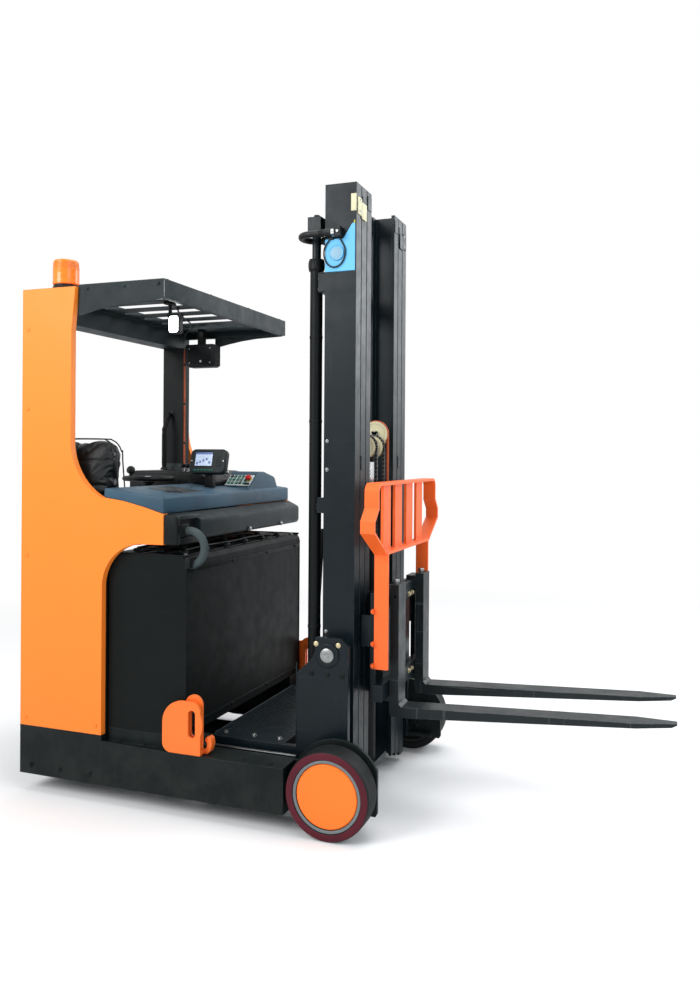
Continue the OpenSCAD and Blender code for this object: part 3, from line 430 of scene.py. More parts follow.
    def bolt(self, at, normal, r=8, key="steel", head=0.6):
        """Washer and six-sided head standing on a surface."""
        at, nrm = Vector(at), Vector(normal).normalized()
        q = Vector((0, 0, 1)).rotation_difference(nrm).to_matrix().to_4x4()
        xf = Matrix.Translation(at) @ q
        self.lathe([(0, 0), (r * 1.35, 0), (r * 1.35, r * 0.16), (r * 1.2, r * 0.22), (0, r * 0.22)], key, n=16, xf=xf)
        h = r * head * 1.6
        self.lathe([(0, r * 0.2), (r, r * 0.2), (r, h * 0.82), (r * 0.86, h), (0, h)], key, n=6, xf=xf)
        return self

    def done(self, smooth_angle=0.6):
        me = bpy.data.meshes.new(self.name)
        self.bm.transform(TRUCK)
        self.bm.to_mesh(me)
        self.bm.free()
        for k in self.mats:
            me.materials.append(M[k])
        o = bpy.data.objects.new(self.name, me)
        bpy.context.collection.objects.link(o)
        me.set_sharp_from_angle(angle=smooth_angle)
        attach(o, self.body)
        return o


def soft_pad(name, node, body, outline, centre, thick_axis, lo, hi, swell, seams):
    """A stuffed pad: a closed shape blown up by cloth, then drawn in along its seams."""
    b = bmesh.new()
    put = {"y": lambda u, v, w: (u, w, v), "z": lambda u, v, w: (u, v, w)}[thick_axis]
    f = b.faces.new([b.verts.new(put(u + centre[0], v + centre[1], lo)) for u, v in outline])
    g = bmesh.ops.extrude_face_region(b, geom=[f])
    bmesh.ops.translate(b, verts=[v for v in g["geom"] if isinstance(v, bmesh.types.BMVert)], vec=Vector(put(0, 0, hi - lo)))
    bmesh.ops.recalc_face_normals(b, faces=b.faces[:])
    sharp = [e for e in b.edges if e.calc_face_angle(0) > 0.9]
    bmesh.ops.bevel(b, geom=sharp, offset=16, segments=4, profile=0.5, affect="EDGES", clamp_overlap=True)
    b.transform(TRUCK)
    me = bpy.data.meshes.new(name)
    b.to_mesh(me)
    b.free()
    o = bpy.data.objects.new(name, me)
    bpy.context.collection.objects.link(o)
    bpy.context.view_layer.objects.active = o
    o.select_set(True)
    rm = o.modifiers.new("r", "REMESH")
    rm.mode = "VOXEL"
    rm.voxel_size = 0.006
    bpy.ops.object.modifier_apply(modifier="r")
    rest = [v.co.copy() for v in o.data.vertices]
    c = o.modifiers.new("c", "CLOTH")
    c.settings.quality = 5
    c.settings.use_pressure = True
    c.settings.uniform_pressure_force = 4
    c.settings.effector_weights.gravity = 0
    c.settings.tension_stiffness = 15
    c.collision_settings.use_collision = False
    for k in range(1, 21):
        bpy.context.scene.frame_set(k)
    bpy.ops.object.modifier_apply(modifier="c")
    bpy.context.scene.frame_set(1)
    for v, r0 in zip(o.data.vertices, rest):
        d = v.co - r0
        if d.length > swell:
            v.co = r0 + d * (swell / d.length)
    third = 1 if thick_axis == "y" else 2
    mid = (lo + hi) / 2000
    for v in o.data.vertices:
        uv = (v.co.x + OX, v.co.z if thick_axis == "y" else v.co.y)
        pull = sum(0.0045 * math.exp(-((uv[a] - at / 1000) / 0.007) ** 2) for a, at in seams)
        if abs(v.co[third] - mid) > 0.02:
            v.co[third] -= math.copysign(pull, v.co[third] - mid)
    o.select_set(False)
    for p in o.data.polygons:
        p.use_smooth = True
    o.data.materials.clear()
    o.data.materials.append(M["vinyl"])
    s = o.modifiers.new("s", "SUBSURF")
    s.levels = s.render_levels = 1
    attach(o, body)
    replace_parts(o, node)
    return o


# pieces: wheels

def load_wheel(side, s):
    body = "load_wheel_" + side
    c = (1470, 0, 175)
    b = Build("load_tyre_%s_rubber" % side, "load_tyre", body)
    prof = [(142.4, 620), (143.5, 624), (150, 625.6), (167, 624.8), (170.6, 623.2), (173.6, 618), (174.8, 611)]
    keys = ["tyre", "burgundy", "burgundy", "burgundy", "tyre", "tyre", "tyre"]
    for k in range(5):
        y = 603 - k * 16
        prof += [(175, y + 5), (174.3, y + 2.5), (174.3, y - 2.5), (175, y - 5)]
        keys += ["tyre"] * 4
    prof += [(174.6, 527), (172, 520), (168, 517.2), (143.5, 517.2), (142.4, 520), (142.4, 620)]
    keys += ["tyre"] * 6
    b.lathe([(r, s * h) for r, h in prof], "tyre", c, "y", 96, keys=keys)
    b.done()
    b = Build("load_hub_%s_face" % side, "hub_paint", body)
    prof = [(0, 621.6), (60, 621.4), (112, 620.8), (123, 619.6), (126.4, 616.5), (127, 613), (128.4, 613), (129, 617.5), (131, 621.5),
            (139.5, 622), (141.6, 620.5), (141.9, 600), (141.9, 523), (126, 522.6), (122, 540), (64, 544), (60, 524), (30, 522.6), (0, 522.6)]
    # the groove wall between the orange disc and the grey ring is coloured black: painted shade in the gap
    keys = ["disc"] * 6 + ["black"] + ["ring"] * 4 + ["casting"] * 8
    b.lathe([(r, s * h) for r, h in prof], "disc", c, "y", 96, keys=keys)
    for k in range(6):
        a = TAU * k / 6
        b.bolt((1470 + 42 * math.cos(a), s * 524, 175 + 42 * math.sin(a)), (0, -s, 0), 7, "steel")
    b.done()
    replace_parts(bpy.data.objects["load_tyre_%s_rubber" % side], "load_tyre_" + side)
    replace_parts(bpy.data.objects["load_hub_%s_face" % side], "load_hub_" + side)


def drive_wheel():
    b = Build("drive_wheel_tread", "drive_tyre", "drive_wheel_body")
    prof = [(30.1, -64), (57, -64), (58, -48), (107, -47), (110, -63), (128, -64.5), (130, -62), (150, -64.5), (160, -62), (164, -54)]
    keys = ["casting"] * 6 + ["drive_tyre"] * 4
    for k in range(6):
        y = -42 + k * 16.8
        prof += [(165, y - 6), (163.6, y - 2), (163.6, y + 2), (165, y + 6)]
        keys += ["drive_tyre"] * 4
    prof += [(164, 54), (160, 62), (150, 64.5), (130, 62), (128, 64.5), (110, 63), (107, 47), (58, 48), (57, 64), (30.1, 64), (30.1, -64)]
    keys += ["drive_tyre"] * 4 + ["casting"] * 7
    b.lathe(prof, "casting", (215, -145, 165), "y", 72, keys=keys)
    for k in range(8):
        a = TAU * k / 8
        b.bolt((215 + 84 * math.cos(a), -192, 165 + 84 * math.sin(a)), (0, -1, 0), 8, "zinc")
    o = b.done()
    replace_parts(o, "drive_wheel")


# pieces: cab

def steering():
    b = Build("steering_wheel_rim", "black_plastic", "steering_wheel_body")
    cx, cy, cz = 235, 15, 1378
    n, m = 72, 14
    bm = bmesh.new()
    rings = []
    for i in range(n):
        a = TAU * i / n
        bump = 1.1 if (i % 2 == 0 and math.sin(a) > -0.2) else 0
        ring = []
        for k in range(m):
            t = TAU * k / m
            rr = 12.9 - (bump if math.cos(t) < 0.2 else 0)
            ring.append(bm.verts.new((cx + (117 + rr * math.cos(t)) * math.cos(a), cy + (117 + rr * math.cos(t)) * math.sin(a),
                                      cz + rr * math.sin(t))))
        rings.append(ring)
    for i in range(n):
        for k in range(m):
            bm.faces.new((rings[i][k], rings[(i + 1) % n][k], rings[(i + 1) % n][(k + 1) % m], rings[i][(k + 1) % m]))
    b.add(bm, "plastic")
    b.lathe([(0, -25), (33, -25), (34, -20), (34, -3), (31, 4), (22, 8), (0, 9)], "plastic", (cx, cy, cz), "z", 40)
    b.lathe([(0, 9), (19, 9), (20, 10), (18, 11.5), (0, 12.5)], "chrome", (cx, cy, cz - 0.6), "z", 32)
    for a in (90, 210, 330):
        xf = Matrix.Translation((cx, cy, cz)) @ Matrix.Rotation(math.radians(a), 4, "Z")
        b.prism([(22, -17), (70, -10), (108, -13), (108, 13), (70, 10), (22, 17)], -7, 2, "plastic", "xy", 2.5, 3, xf)
        b.box((48, -5, 1.4), (96, 5, 2.6), "ring", 0.5, 1, xf)
    b.lathe([(0, 4), (9, 4), (9, 22), (14, 24), (21, 31), (22, 40), (20, 50), (13, 58), (5, 61.6), (0, 62)], "plastic",
            (cx - 106, cy, cz), "z", 32)
    o = b.done()
    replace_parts(o, "steering_wheel")


def dash():
    b = Build("dashboard_cowl", "black_plastic", "chassis")
    b.prism([(9, 1201), (436, 1201), (436, 1404), (410, 1413), (50, 1414), (22, 1408), (9, 1384)], 171, 498, "plastic", "xz", 12, 4)
    b.prism([(142, 1201), (436, 1201), (436, 1404), (410, 1413), (142, 1414)], 490, 595, "plastic", "xz", 9, 3)
    b.prism([(9, 1201), (150, 1201), (150, 1412), (22, 1408), (9, 1384)], 562, 595, "plastic", "xz", 9, 3)
    b.prism([(430, 1350), (559, 1341.5), (559, 1368), (548, 1376), (474, 1411), (452, 1414), (430, 1412)], 82, 534, "plastic", "xz", 7, 3)
    b.box((300, 169, 1208), (303, 172.5, 1400), "bumper", 0.8, 1)
    # flared collar round the pillar's foot
    bm = bmesh.new()
    lo = [bm.verts.new(v) for v in ((12, 478, 1412), (166, 478, 1412), (166, 578, 1412), (12, 578, 1412))]
    mi = [bm.verts.new(v) for v in ((24, 492, 1432), (148, 492, 1432), (148, 568, 1432), (24, 568, 1432))]
    hi = [bm.verts.new(v) for v in ((28.5, 498.5, 1452), (141.5, 498.5, 1452), (141.5, 561.5, 1452), (28.5, 561.5, 1452))]
    for p, q in ((lo, mi), (mi, hi)):
        for k in range(4):
            bm.faces.new((p[k], p[(k + 1) % 4], q[(k + 1) % 4], q[k]))
    bm.faces.new(hi)
    bm.faces.new(lo[::-1])
    bmesh.ops.bevel(bm, geom=bm.edges[:], offset=5, segments=3, profile=0.5, affect="EDGES", clamp_overlap=True)
    b.add(bm, "bumper")
    # switches, key and vents
    for i in range(5):
        b.box((476 + 0.2 * i, 120 + i * 34, 1396), (500, 142 + i * 34, 1409), "black", 2, 2)
        b.box((482, 128 + i * 34, 1406), (490, 134 + i * 34, 1410), "pale", 0.6, 1)
    b.rod((500, 330, 1392), (512, 330, 1414), 12, "chrome")
    b.box((506, 327, 1404), (520, 333, 1414.5), "steel", 1, 1)
    for i in range(7):
        b.box((180 + i * 14, 540, 1411), (187 + i * 14, 585, 1414.8), "black", 1, 1)
    for i in range(3):
        b.rod((330 + i * 26, 196, 1412), (330 + i * 26, 192, 1436), 5, "chrome")
        b.lathe([(0, -4), (9, -3), (12, 6), (10, 15), (4, 19), (0, 20)], "grip", (330 + i * 26, 191, 1434), "z", 20)
    # steering column under the wheel
    b.lathe([(0, 1290), (26, 1290), (27, 1300), (22, 1322), (20, 1340), (20, 1352), (0, 1352)], "plastic", (235, 15, 0), "z", 32)
    for k in range(5):
        b.lathe([(20, 0), (24.5, 3), (20, 6)], "rubber", (235, 15, 1318 + k * 6), "z", 32)
    b.prism([(215, 1291), (255, 1291), (255, 1324), (215, 1324)], -4, 176, "plastic", "xz", 7, 3)
    o = b.done()
    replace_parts(o, "dashboard")


def display():
    b = Build("display_unit", "black_plastic", "chassis")
    a = math.radians(76)
    xf = Matrix.Translation((580, 40, 1460)) @ Matrix.Rotation(a, 4, "X")
    rr = round_rect(199, 124, 26, 6)
    b.prism(rr, 0.5, 33, "plastic", "xy", 5, 3, xf)
    b.prism([(x * 0.97, y * 0.96) for x, y in rr], 30, 38.5, "bumper", "xy", 3, 3, xf)
    b.box((-72, -30, 36), (32, 48, 39.3), "black", 2.5, 2, xf)
    b.box((-67, -25, 38.5), (27, 43, 39.9), "screen", 1, 1, xf)
    b.box((-67, 33, 39.6), (27, 43, 40.3), "screen_dark", 0.3, 1, xf)
    for i in range(5):
        b.box((-60 + i * 17, -19 + (i * 7) % 23, 39.5), (-50 + i * 17, -15 + (i * 7) % 23 + 9, 40.2), "screen_dark", 0.2, 1, xf)
    for i in range(6):
        b.box((-70 + i * 19, -50, 37.8), (-58 + i * 19, -42, 40.4), "green", 1.2, 2, xf)
    for sx, sy in ((-88, 0), (88, 0)):
        b.lathe([(0, 38), (4, 38), (4, 39.6), (0, 40)], "steel", (sx, sy, 0), "z", 12, xf)
    for i in range(6):
        b.box((50 + i * 6, -30, 37.9), (53 + i * 6, 30, 39), "black", 0.4, 1, xf)
    b.prism([(552, 1340), (598, 1336.6), (596, 1420), (556, 1420)], 22, 58, "plastic", "xz", 5, 3)
    o = b.done()
    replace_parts(o, "display")


def round_rect(w, h, r, n=6):
    pts = []
    for cx, cy, a0 in ((w / 2 - r, h / 2 - r, 0), (-w / 2 + r, h / 2 - r, 90), (-w / 2 + r, -h / 2 + r, 180), (w / 2 - r, -h / 2 + r, 270)):
        for k in range(n + 1):
            a = math.radians(a0 + 90 * k / n)
            pts.append((cx + r * math.cos(a), cy + r * math.sin(a)))
    return pts


def button_panel():
    b = Build("button_panel_keys", "button_plate", "chassis")
    xf = Matrix.Translation((641, 231.8, 1365.6)) @ Matrix.Rotation(math.radians(38.6), 4, "X")
    b.box((-70, -42, 0.4), (70, 42, 5.8), "pale", 2, 2, xf)
    for i in range(5):
        for j in range(3):
            x, y = -62 + i * 21 + (i // 2) * 2, 20 - j * 25
            k = "green" if (i + j) % 5 else "black"
            b.box((x, y, 5), (x + 16, y + 17, 9.5), k, 2, 2, xf)
            b.box((x + 5, y + 7, 9.2), (x + 11, y + 9, 9.9), "pale", 0.3, 1, xf)
    b.lathe([(0, 5), (17, 5), (17, 7), (10, 8), (10, 15), (15, 16), (16, 19), (15, 24), (10, 27), (0, 27.5)], "red", (50, 8, 0), "z", 36,
            xf, keys=["yellow", "yellow", "yellow"] + ["red"] * 6)
    b.box((36, -36, 5), (66, -20, 7.6), "black", 1.2, 2, xf)
    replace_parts(b.done(), "button_panel")


def console():
    b = Build("console_top", "console_plastic", "chassis")
    out = [(438.5, 1314), (532, 1302), (634, 1279), (733.5, 1251.4), (733.5, 1318), (724, 1321.5), (446, 1354), (438.5, 1351)]
    b.prism(out, -626.3, 626.3, "console", "xz", 5, 3)
    h = [(148, 1298), (286, 1408), (300, 1413), (345, 1413), (462, 1386), (480, 1376), (525, 1300), (525, 1292)]
    b.prism(h, 563, 722, "console", "yz", 9, 4)
    b.box((600, -430, 1332.6), (700, -426, 1337), "black", 1, 1)
    for s in (0, 1):
        b.lathe([(0, 0), (7, 0), (7, 2), (0, 2.6)], "black", (560, -150 + s * 34, 1340), "z", 16)
    # tray for papers sunk in the top
    tilt = Matrix.Translation((590, -300, 1337)) @ Matrix.Rotation(math.radians(6.75), 4, "Y")
    b.prism(round_rect(200, 230, 26), 0.2, 1.8, "console", "xy", 0.8, 2, tilt)
    b.prism(round_rect(184, 214, 20), 1.2, 2.6, "bumper", "xy", 0.6, 2, tilt)
    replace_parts(b.done(), "console")


def bumper():
    b = Build("bumper_guard", "bumper_plastic", "chassis")
    out = [(735, 1122.5), (786, 1131), (796, 1139), (799.5, 1152), (799.5, 1212), (794, 1222), (735, 1250.5)]
    b.prism(out, -429, 626.3, "bumper", "xz", 8, 4)
    b.prism([(735, 1123), (799.5, 1123), (799.5, 1236), (790, 1246), (735, 1250)], -626.3, -600, "black", "xz", 6, 3)
    b.prism([(735, 1123), (799, 1123), (799, 1150), (735, 1150)], -604, -436, "black", "xz", 3, 2)
    b.prism([(735, 1226), (792, 1226), (790, 1244), (735, 1250)], -604, -436, "bumper", "xz", 3, 2)
    b.prism([(735, 1140), (772, 1140), (772, 1232), (735, 1232)], -604, -436, "black", "xz", 2, 1)
    b.box((770, -594, 1152), (799, -528, 1208), "black", 5, 3)
    b.lathe([(17.2, -14), (24, -14), (25, -10), (25, 6), (22, 9), (17.2, 9), (17.2, -14)], "rubber", (800, -560, 1180), "x", 32)
    b.prism([(462, 1126), (733, 1126), (733, 1139), (462, 1139)], -596, 596, "black", "xz", 2, 1)
    for y in (27, 383):
        b.bolt((803, y, 1143), (1, 0, -0.4), 9, "steel")
    b.tube([(799, -420, 1216), (800.5, -200, 1216), (800.5, 300, 1216), (799, 616, 1216)], 1.3, "bumper", 8, 6)
    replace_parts(b.done(), "console_bumper")


def panel_trim():
    """Seams, screws and vents on the covers."""
    b = Build("cover_details", "black_steel", "chassis")
    for s in (-1, 1):
        for x, z in ((30, 330), (400, 330), (30, 1050), (30, 1700), (30, 2050)):
            if s > 0 and z == 2050:
                continue
            b.lathe([(0, 0), (9, 0), (9, 1.4), (7, 2.4), (3, 2.6), (0, 1.8)], "orange", (0, 0, 0), "z", 20,
                    Matrix.Translation((x, s * 626.6, z)) @ Matrix.Rotation(math.radians(s * -90), 4, "X"))
    # rear cover: ribs, louvres and latch, standing on its outer face
    for i in range(9):
        b.prism([(0, 520 + i * 34), (-7, 526 + i * 34), (-7, 536 + i * 34), (0, 548 + i * 34)], -520, -90, "black", "xz", 1, 1)
    b.box((-5, -330, 930), (0.5, -270, 962), "steel", 2, 2)
    b.box((-8, -312, 940), (-3, -288, 952), "plastic", 2, 2)
    # skirt plate bolts and jacking marks low on the frame
    for s in (-1, 1):
        for x in (60, 215, 370):
            b.bolt((x, s * 626.5, 120), (0, s, 0), 10, "black")
        b.tube([(433, s * 627.2, 268), (700, s * 627.2, 262), (1000, s * 627.2, 262), (1260, s * 627.2, 262)], 2.2, "chassis", 8, 4)
    for y in (-500, -250, 0, 250, 500):
        b.bolt((0, y, 130), (-1, 0, 0), 11, "black")
    b.done()


def battery():
    b = Build("battery_details", "battery_steel", "chassis")
    # lid strips, lifting eyes, cell caps and leads on the top
    b.box((442, -586, 1068), (818, -570, 1078), "battery", 2, 2)
    b.box((442, 570, 1068), (818, 586, 1078), "battery", 2, 2)
    for i in range(6):
        for j in range(3):
            x, y = 500 + j * 120, -470 + i * 188
            b.box((x - 48, y - 82, 1068), (x + 48, y + 82, 1074), "plastic", 2, 2)
            b.lathe([(0, 1073), (17, 1073), (18, 1078), (14, 1084), (0, 1085)], "bumper", (x, y, 0), "z", 24)
            b.lathe([(0, 1073), (11, 1073), (11, 1079), (0, 1080)], "steel" if (i + j) % 2 else "black", (x - 30, y + 50, 0), "z", 16)
    for j in range(3):
        b.tube([(470 + j * 120, -420, 1079), (474 + j * 120, -200, 1083), (470 + j * 120, 0, 1079), (474 + j * 120, 220, 1083),
                (470 + j * 120, 420, 1079)], 6, "hose", 8, 5)
    for y in (-540, 540):
        for x in (470, 790):
            b.bolt((x, y, 1071), (0, 0, 1), 9, "steel")
    # plug where the cable comes down on the front edge
    b.box((819.5, -600, 1024), (845, -528, 1072), "black", 5, 3)
    b.lathe([(17.3, -20), (26, -20), (26, 10), (21, 20), (17.3, 20), (17.3, -20)], "rubber", (828, -560, 1050), "x", 32)
    # weld beads and flat straps on the tray's front and side faces
    for y in (-586, 586):
        b.tube([(820.5, y, 330), (821, y, 600), (821, y, 1040)], 3, "battery", 8, 6)
    for z in (352, 1012):
        b.box((819.5, -584, z - 9), (824, 584, z + 9), "battery", 1.5, 2)
    for y in (-520, -180, 180, 520):
        b.bolt((823.5, y, 352), (1, 0, 0), 7, "black")
        b.bolt((823.5, y, 1012), (1, 0, 0), 7, "black")
    b.done()


def beacon():
    b = Build("beacon_lens_ribbed", "beacon_lens", "chassis")
    c = (172, -550, 2230)
    b.lathe([(0, 0.4), (56, 0.4), (57.5, 4), (57.5, 12), (54, 15), (54, 24), (0, 24)], "plastic", c, "z", 64)
    prof = [(54, 23), (57.6, 26), (57.8, 34)]
    for k in range(4):
        prof += [(57.6, 40 + k * 8), (56.4, 44 + k * 8)]
    prof += [(57.4, 74), (57.2, 90)]
    for k in range(8):
        prof += [(57.6 - k * 0.25, 92 + k * 4.2), (56 - k * 0.25, 94.1 + k * 4.2)]
    prof += [(54.5, 127), (50, 132.5), (38, 135.6), (0, 136.6)]
    b.lathe(prof, "amber", c, "z", 64)
    b.lathe([(0, 24), (28, 24), (24, 60), (26, 100), (10, 118), (0, 119)], "chrome", c, "z", 24)
    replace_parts(b.done(), "beacon")


def work_lamp():
    b = Build("work_lamp_head", "lamp", "chassis")
    b.box((545, -344, 2184), (579, -286, 2195.7), "black", 2, 2)
    b.rod((562, -312, 2188), (562, -312, 2146), 8, "black")
    b.lathe([(0, -16), (9, -13), (15, -5), (16, 2), (12, 10), (6, 15), (0, 16)], "plastic", (562, -312, 2138), "z", 28)
    xf = Matrix.Translation((596, 0, 2092)) @ Matrix.Rotation(math.radians(90), 4, "X")
    rr = round_rect(56, 83, 12)
    b.prism(rr, 301, 338, "black", "xy", 3, 3, xf)
    b.prism([(x * 0.86, y * 0.9) for x, y in rr], 334, 339.6, "lamp", "xy", 2, 2, xf)
    for i in range(6):
        b.box((571, -305.8, 2058 + i * 12), (621, -299.6, 2062 + i * 12), "black", 0.6, 1)
    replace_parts(b.done(), "work_lamp")


def lamp_box():
    b = Build("finned_box_housing", "black_plastic", "chassis")
    b.prism([(232, 2114), (268, 2114), (268, 2195.6), (232, 2195.6)], 492, 528, "black", "xz", 3, 2)
    b.prism([(161, 2016), (184, 1987), (338, 1987), (345, 1996), (345, 2108), (338, 2115), (170, 2115), (161, 2104)], 478, 542, "plastic",
            "xz", 4, 3)
    b.prism([(176, 2026), (190, 2004), (328, 2004), (328, 2100), (182, 2100)], 475.4, 480, "black", "xz", 2, 2)
    for i in range(10):
        b.box((343, 480 + i * 6, 1994), (352.6, 483 + i * 6, 2110), "plastic", 1, 1)
    for i in range(12):
        b.box((186 + i * 12, 484, 2113), (190 + i * 12, 538, 2116), "plastic", 0.8, 1)
    for x, z in ((190, 2012), (320, 2012), (190, 2092), (320, 2092)):
        b.bolt((x, 475.8, z), (0, -1, 0), 3.5, "steel")
    b.lathe([(0, 0), (7, 0), (6, 2.5), (0, 3)], "pale", (0, 0, 0), "z", 16, Matrix.Translation((262, 475.6, 2020)) @ Matrix.Rotation(math.radians(90), 4, "X"))
    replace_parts(b.done(), "finned_box")


def guard_details():
    b = Build("guard_details", "guard_paint", "chassis")
    for s in (-1, 1):
        for x in (330, 520, 690):
            b.bolt((x, s * 608, 2220), (0, s, 0), 7, "guard")
    # thin steel strip down the front near corner of the guard: painted highlight along that edge
    b.tube([(717.6, -606, 2162), (718, -606.5, 2200), (717.6, -606, 2237)], 1.6, "steel", 8, 4)
    for y in (-560, -190, 190, 560):
        b.bolt((704, y, 2240), (0, 0, 1), 6, "black")
    # lamp lead clipped under the plate to the far pillar
    b.tube([(562, -300, 2150), (548, -282, 2178), (520, -190, 2190), (430, 0, 2191), (300, 330, 2191), (180, 470, 2190), (128, 528, 2176),
            (120, 534, 2130)], 4, "hose", 8, 6)
    for x, y in ((516, -180), (430, 0), (300, 330)):
        b.box((x - 8, y - 8, 2186), (x + 8, y + 8, 2196), "plastic", 2, 2)
    b.tube([(142, 505, 2090), (146, 502, 1900), (144, 506, 1700), (147, 502, 1500), (146, 504, 1420)], 5, "red_hose", 8, 6)
    for z in (2000, 1780, 1560):
        b.box((139.5, 496, z), (152, 512, z + 12), "plastic", 1.5, 2)
    b.done()


def pedals():
    b = Build("pedal_pads", "floor_mat", "chassis")
    for cx, w in ((120, 60), (250, 60), (360, 40)):
        xf = Matrix.Translation((cx, 370, 444)) @ Matrix.Rotation(math.radians(20), 4, "X")
        b.box((-w / 2 + 1, 2, 20), (w / 2 - 1, 108, 26), "rubber", 3, 3, xf)
        for k in range(8):
            b.box((-w / 2 + 5, 8 + k * 12.4, 24.5), (w / 2 - 5, 13 + k * 12.4, 28.5), "rubber", 1, 1, xf)
        b.box((-7, 106, 6), (7, 132, 18), "steel", 2, 2, xf)
    for i in range(13):
        for j in range(10):
            if 355 < 26 + j * 56 < 500 and (abs(20 + i * 32 - 120) < 45 or abs(20 + i * 32 - 250) < 45 or abs(20 + i * 32 - 360) < 35):
                continue
            b.lathe([(0, 444), (9, 444.4), (8, 447), (0, 447.6)], "rubber", (20 + i * 32, 26 + j * 56, 0), "z", 10)
    b.done()


def seat():
    soft_pad("seat_cushion_pad", "seat_cushion", "chassis", round_rect(378, 388, 46, 5), (231, -200), "z", 886, 968,
             7, [(0, 120), (0, 330), (1, -110), (1, -290)])
    back = [(36, 996), (391, 996), (392, 1470), (386, 1512), (366, 1546), (336, 1564), (298, 1569), (60, 1569), (42, 1560), (36, 1540)]
    soft_pad("seat_back_pad", "seat_back", "chassis", back, (0, 0), "y", -490, -412, 6,
             [(1, 1120), (1, 1240), (1, 1360), (1, 1470)])
    b = Build("seat_welts", "seat_vinyl", "chassis")
    for z in (901, 953):
        p = [(x + 231, y - 200, z) for x, y in round_rect(377, 387, 46, 5)]
        b.tube(p, 3.2, "vinyl", 8, 2, True)
    for y in (-475, -427):
        p = [(213 + (x - 213) * 0.997, y, 1282 + (z - 1282) * 0.997) for x, z in back]
        b.tube(p, 3.2, "vinyl", 8, 2, True)
    for x in (90, 350):
        b.box((x - 16, -402, 905), (x + 16, -398, 1010), "black", 1.5, 2)
        b.bolt((x, -397.6, 930), (0, 1, 0), 6, "steel")
    b.done()


def chain(b, x, y, z0, z1, w, t, pitch=19.05):
    """Leaf chain hanging down: rows of linked plates and the pins through them."""
    n = int((z1 - z0) / pitch)
    for k in range(n):
        z = z0 + k * pitch
        offs = (-w * 0.36, 0, w * 0.36) if k % 2 else (-w * 0.18, w * 0.18)
        for o in offs:
            e = t * 0.42
            pts = [(x - e, z - 4), (x - e * 0.5, z - 8), (x + e * 0.5, z - 8), (x + e, z - 4), (x + e * 0.72, z + pitch / 2),
                   (x + e, z + pitch + 4), (x + e * 0.5, z + pitch + 8), (x - e * 0.5, z + pitch + 8), (x - e, z + pitch + 4),
                   (x - e * 0.72, z + pitch / 2)]
            b.prism(pts, y + o - w * 0.085, y + o + w * 0.085, "chain", "xz", 0)
        b.rod((x, y - w * 0.49, z), (x, y + w * 0.49, z), t * 0.22, "steel", 8, 0)


def chain_arc(b, x, y, z, r, w, t, pitch=14):
    n = int(math.pi * r / pitch)
    for k in range(n):
        xf = Matrix.Translation((x, 0, z)) @ Matrix.Rotation(math.pi * (k + 0.5) / n, 4, "Y")
        offs = (-w * 0.36, 0, w * 0.36) if k % 2 else (-w * 0.18, w * 0.18)
        for o in offs:
            b.box((-r - t * 0.42, y + o - w * 0.085, -pitch * 0.62), (-r + t * 0.42, y + o + w * 0.085, pitch * 0.62), "chain", 1.5, 1, xf)
        b.rod(xf @ Vector((-r, y - w * 0.49, 0)), xf @ Vector((-r, y + w * 0.49, 0)), t * 0.22, "steel", 8, 0)


def pulley(b, x, y, z, r, w, key, groove=4):
    """A flanged wheel on a cross shaft."""
    h = w / 2
    b.lathe([(13.9, -h), (r * 0.42, -h), (r * 0.46, -h + 3), (r * 0.78, -h + 3), (r * 0.84, -h), (r, -h), (r, -h + 2.4),
             (r - groove, -h + 4.4), (r - groove, h - 4.4), (r, h - 2.4), (r, h), (r * 0.84, h), (r * 0.78, h - 3), (r * 0.46, h - 3),
             (r * 0.42, h), (13.9, h), (13.9, -h)], key, (x, y, z), "y", 56)


def free_head():
    b = Build("free_lift_chain_head", "sheave", "free_lift_body")
    x, zc, zh = 1424, 1540, 1600
    b.rod((x, 0, 401), (x, 0, zc - 20), 24, "chrome", 48)
    b.prism([(x - 26, zc - 60), (x + 26, zc - 60), (x + 26, zc + 6), (x + 12, zc + 20), (x - 12, zc + 20), (x - 26, zc + 6)], -30, 30,
            "black", "xz", 3, 2)
    b.lathe([(24, -8), (31, -8), (31, -1), (24, 0)], "black", (x, 0, zc - 60), "z", 40)
    b.rod((x, -66, zc), (x, 66, zc), 14, "steel", 32)
    b.box((x - 14, 67, zc - 14), (x + 14, 79, zh + 14), "black", 3, 3)
    b.rod((x, 67, zh), (x, 104, zh), 14, "steel", 32)
    for s in (-1, 1):
        pulley(b, x, s * 52, zc, 46, 26, "cream", 0.2)
        b.lathe([(46, -13), (50, -13), (50, -10.4), (46, -9.6)], "cream", (x, s * 52, zc), "y", 56)
        b.lathe([(46, 13), (50, 13), (50, 10.4), (46, 9.6)], "cream", (x, s * 52, zc), "y", 56)
        chain_arc(b, x, s * 52, zc, 52.5, 18, 12.6)
        chain(b, x + 52.5, s * 52, 482, zc - 8, 18, 12.6)
        b.rod((x, s * 65.2, zc), (x, s * 66, zc), 9, "zinc", 6, 0)
    pulley(b, x, 92, zh, 60, 24, "cream", 9)
    b.tube([(x + 58, 92, 1000), (x + 58, 92, 1200), (x + 58, 92, 1420), (x + 58, 92, zh - 6), (x + 54, 92, zh + 22), (x + 38, 92, zh + 46),
            (x + 14, 92, zh + 57), (x - 14, 92, zh + 57), (x - 38, 92, zh + 44), (x - 49, 92, zh + 22), (x - 52, 92, zh - 4)], 6.2,
           "red_hose", 12, 6)
    b.lathe([(6, 0), (8.6, 1), (8.6, 34), (10.5, 36), (10.5, 50), (7, 52), (0, 52)], "steel", (x + 58, 92, 950), "z", 20)
    o = b.done()
    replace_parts(o, "free_lift_head")


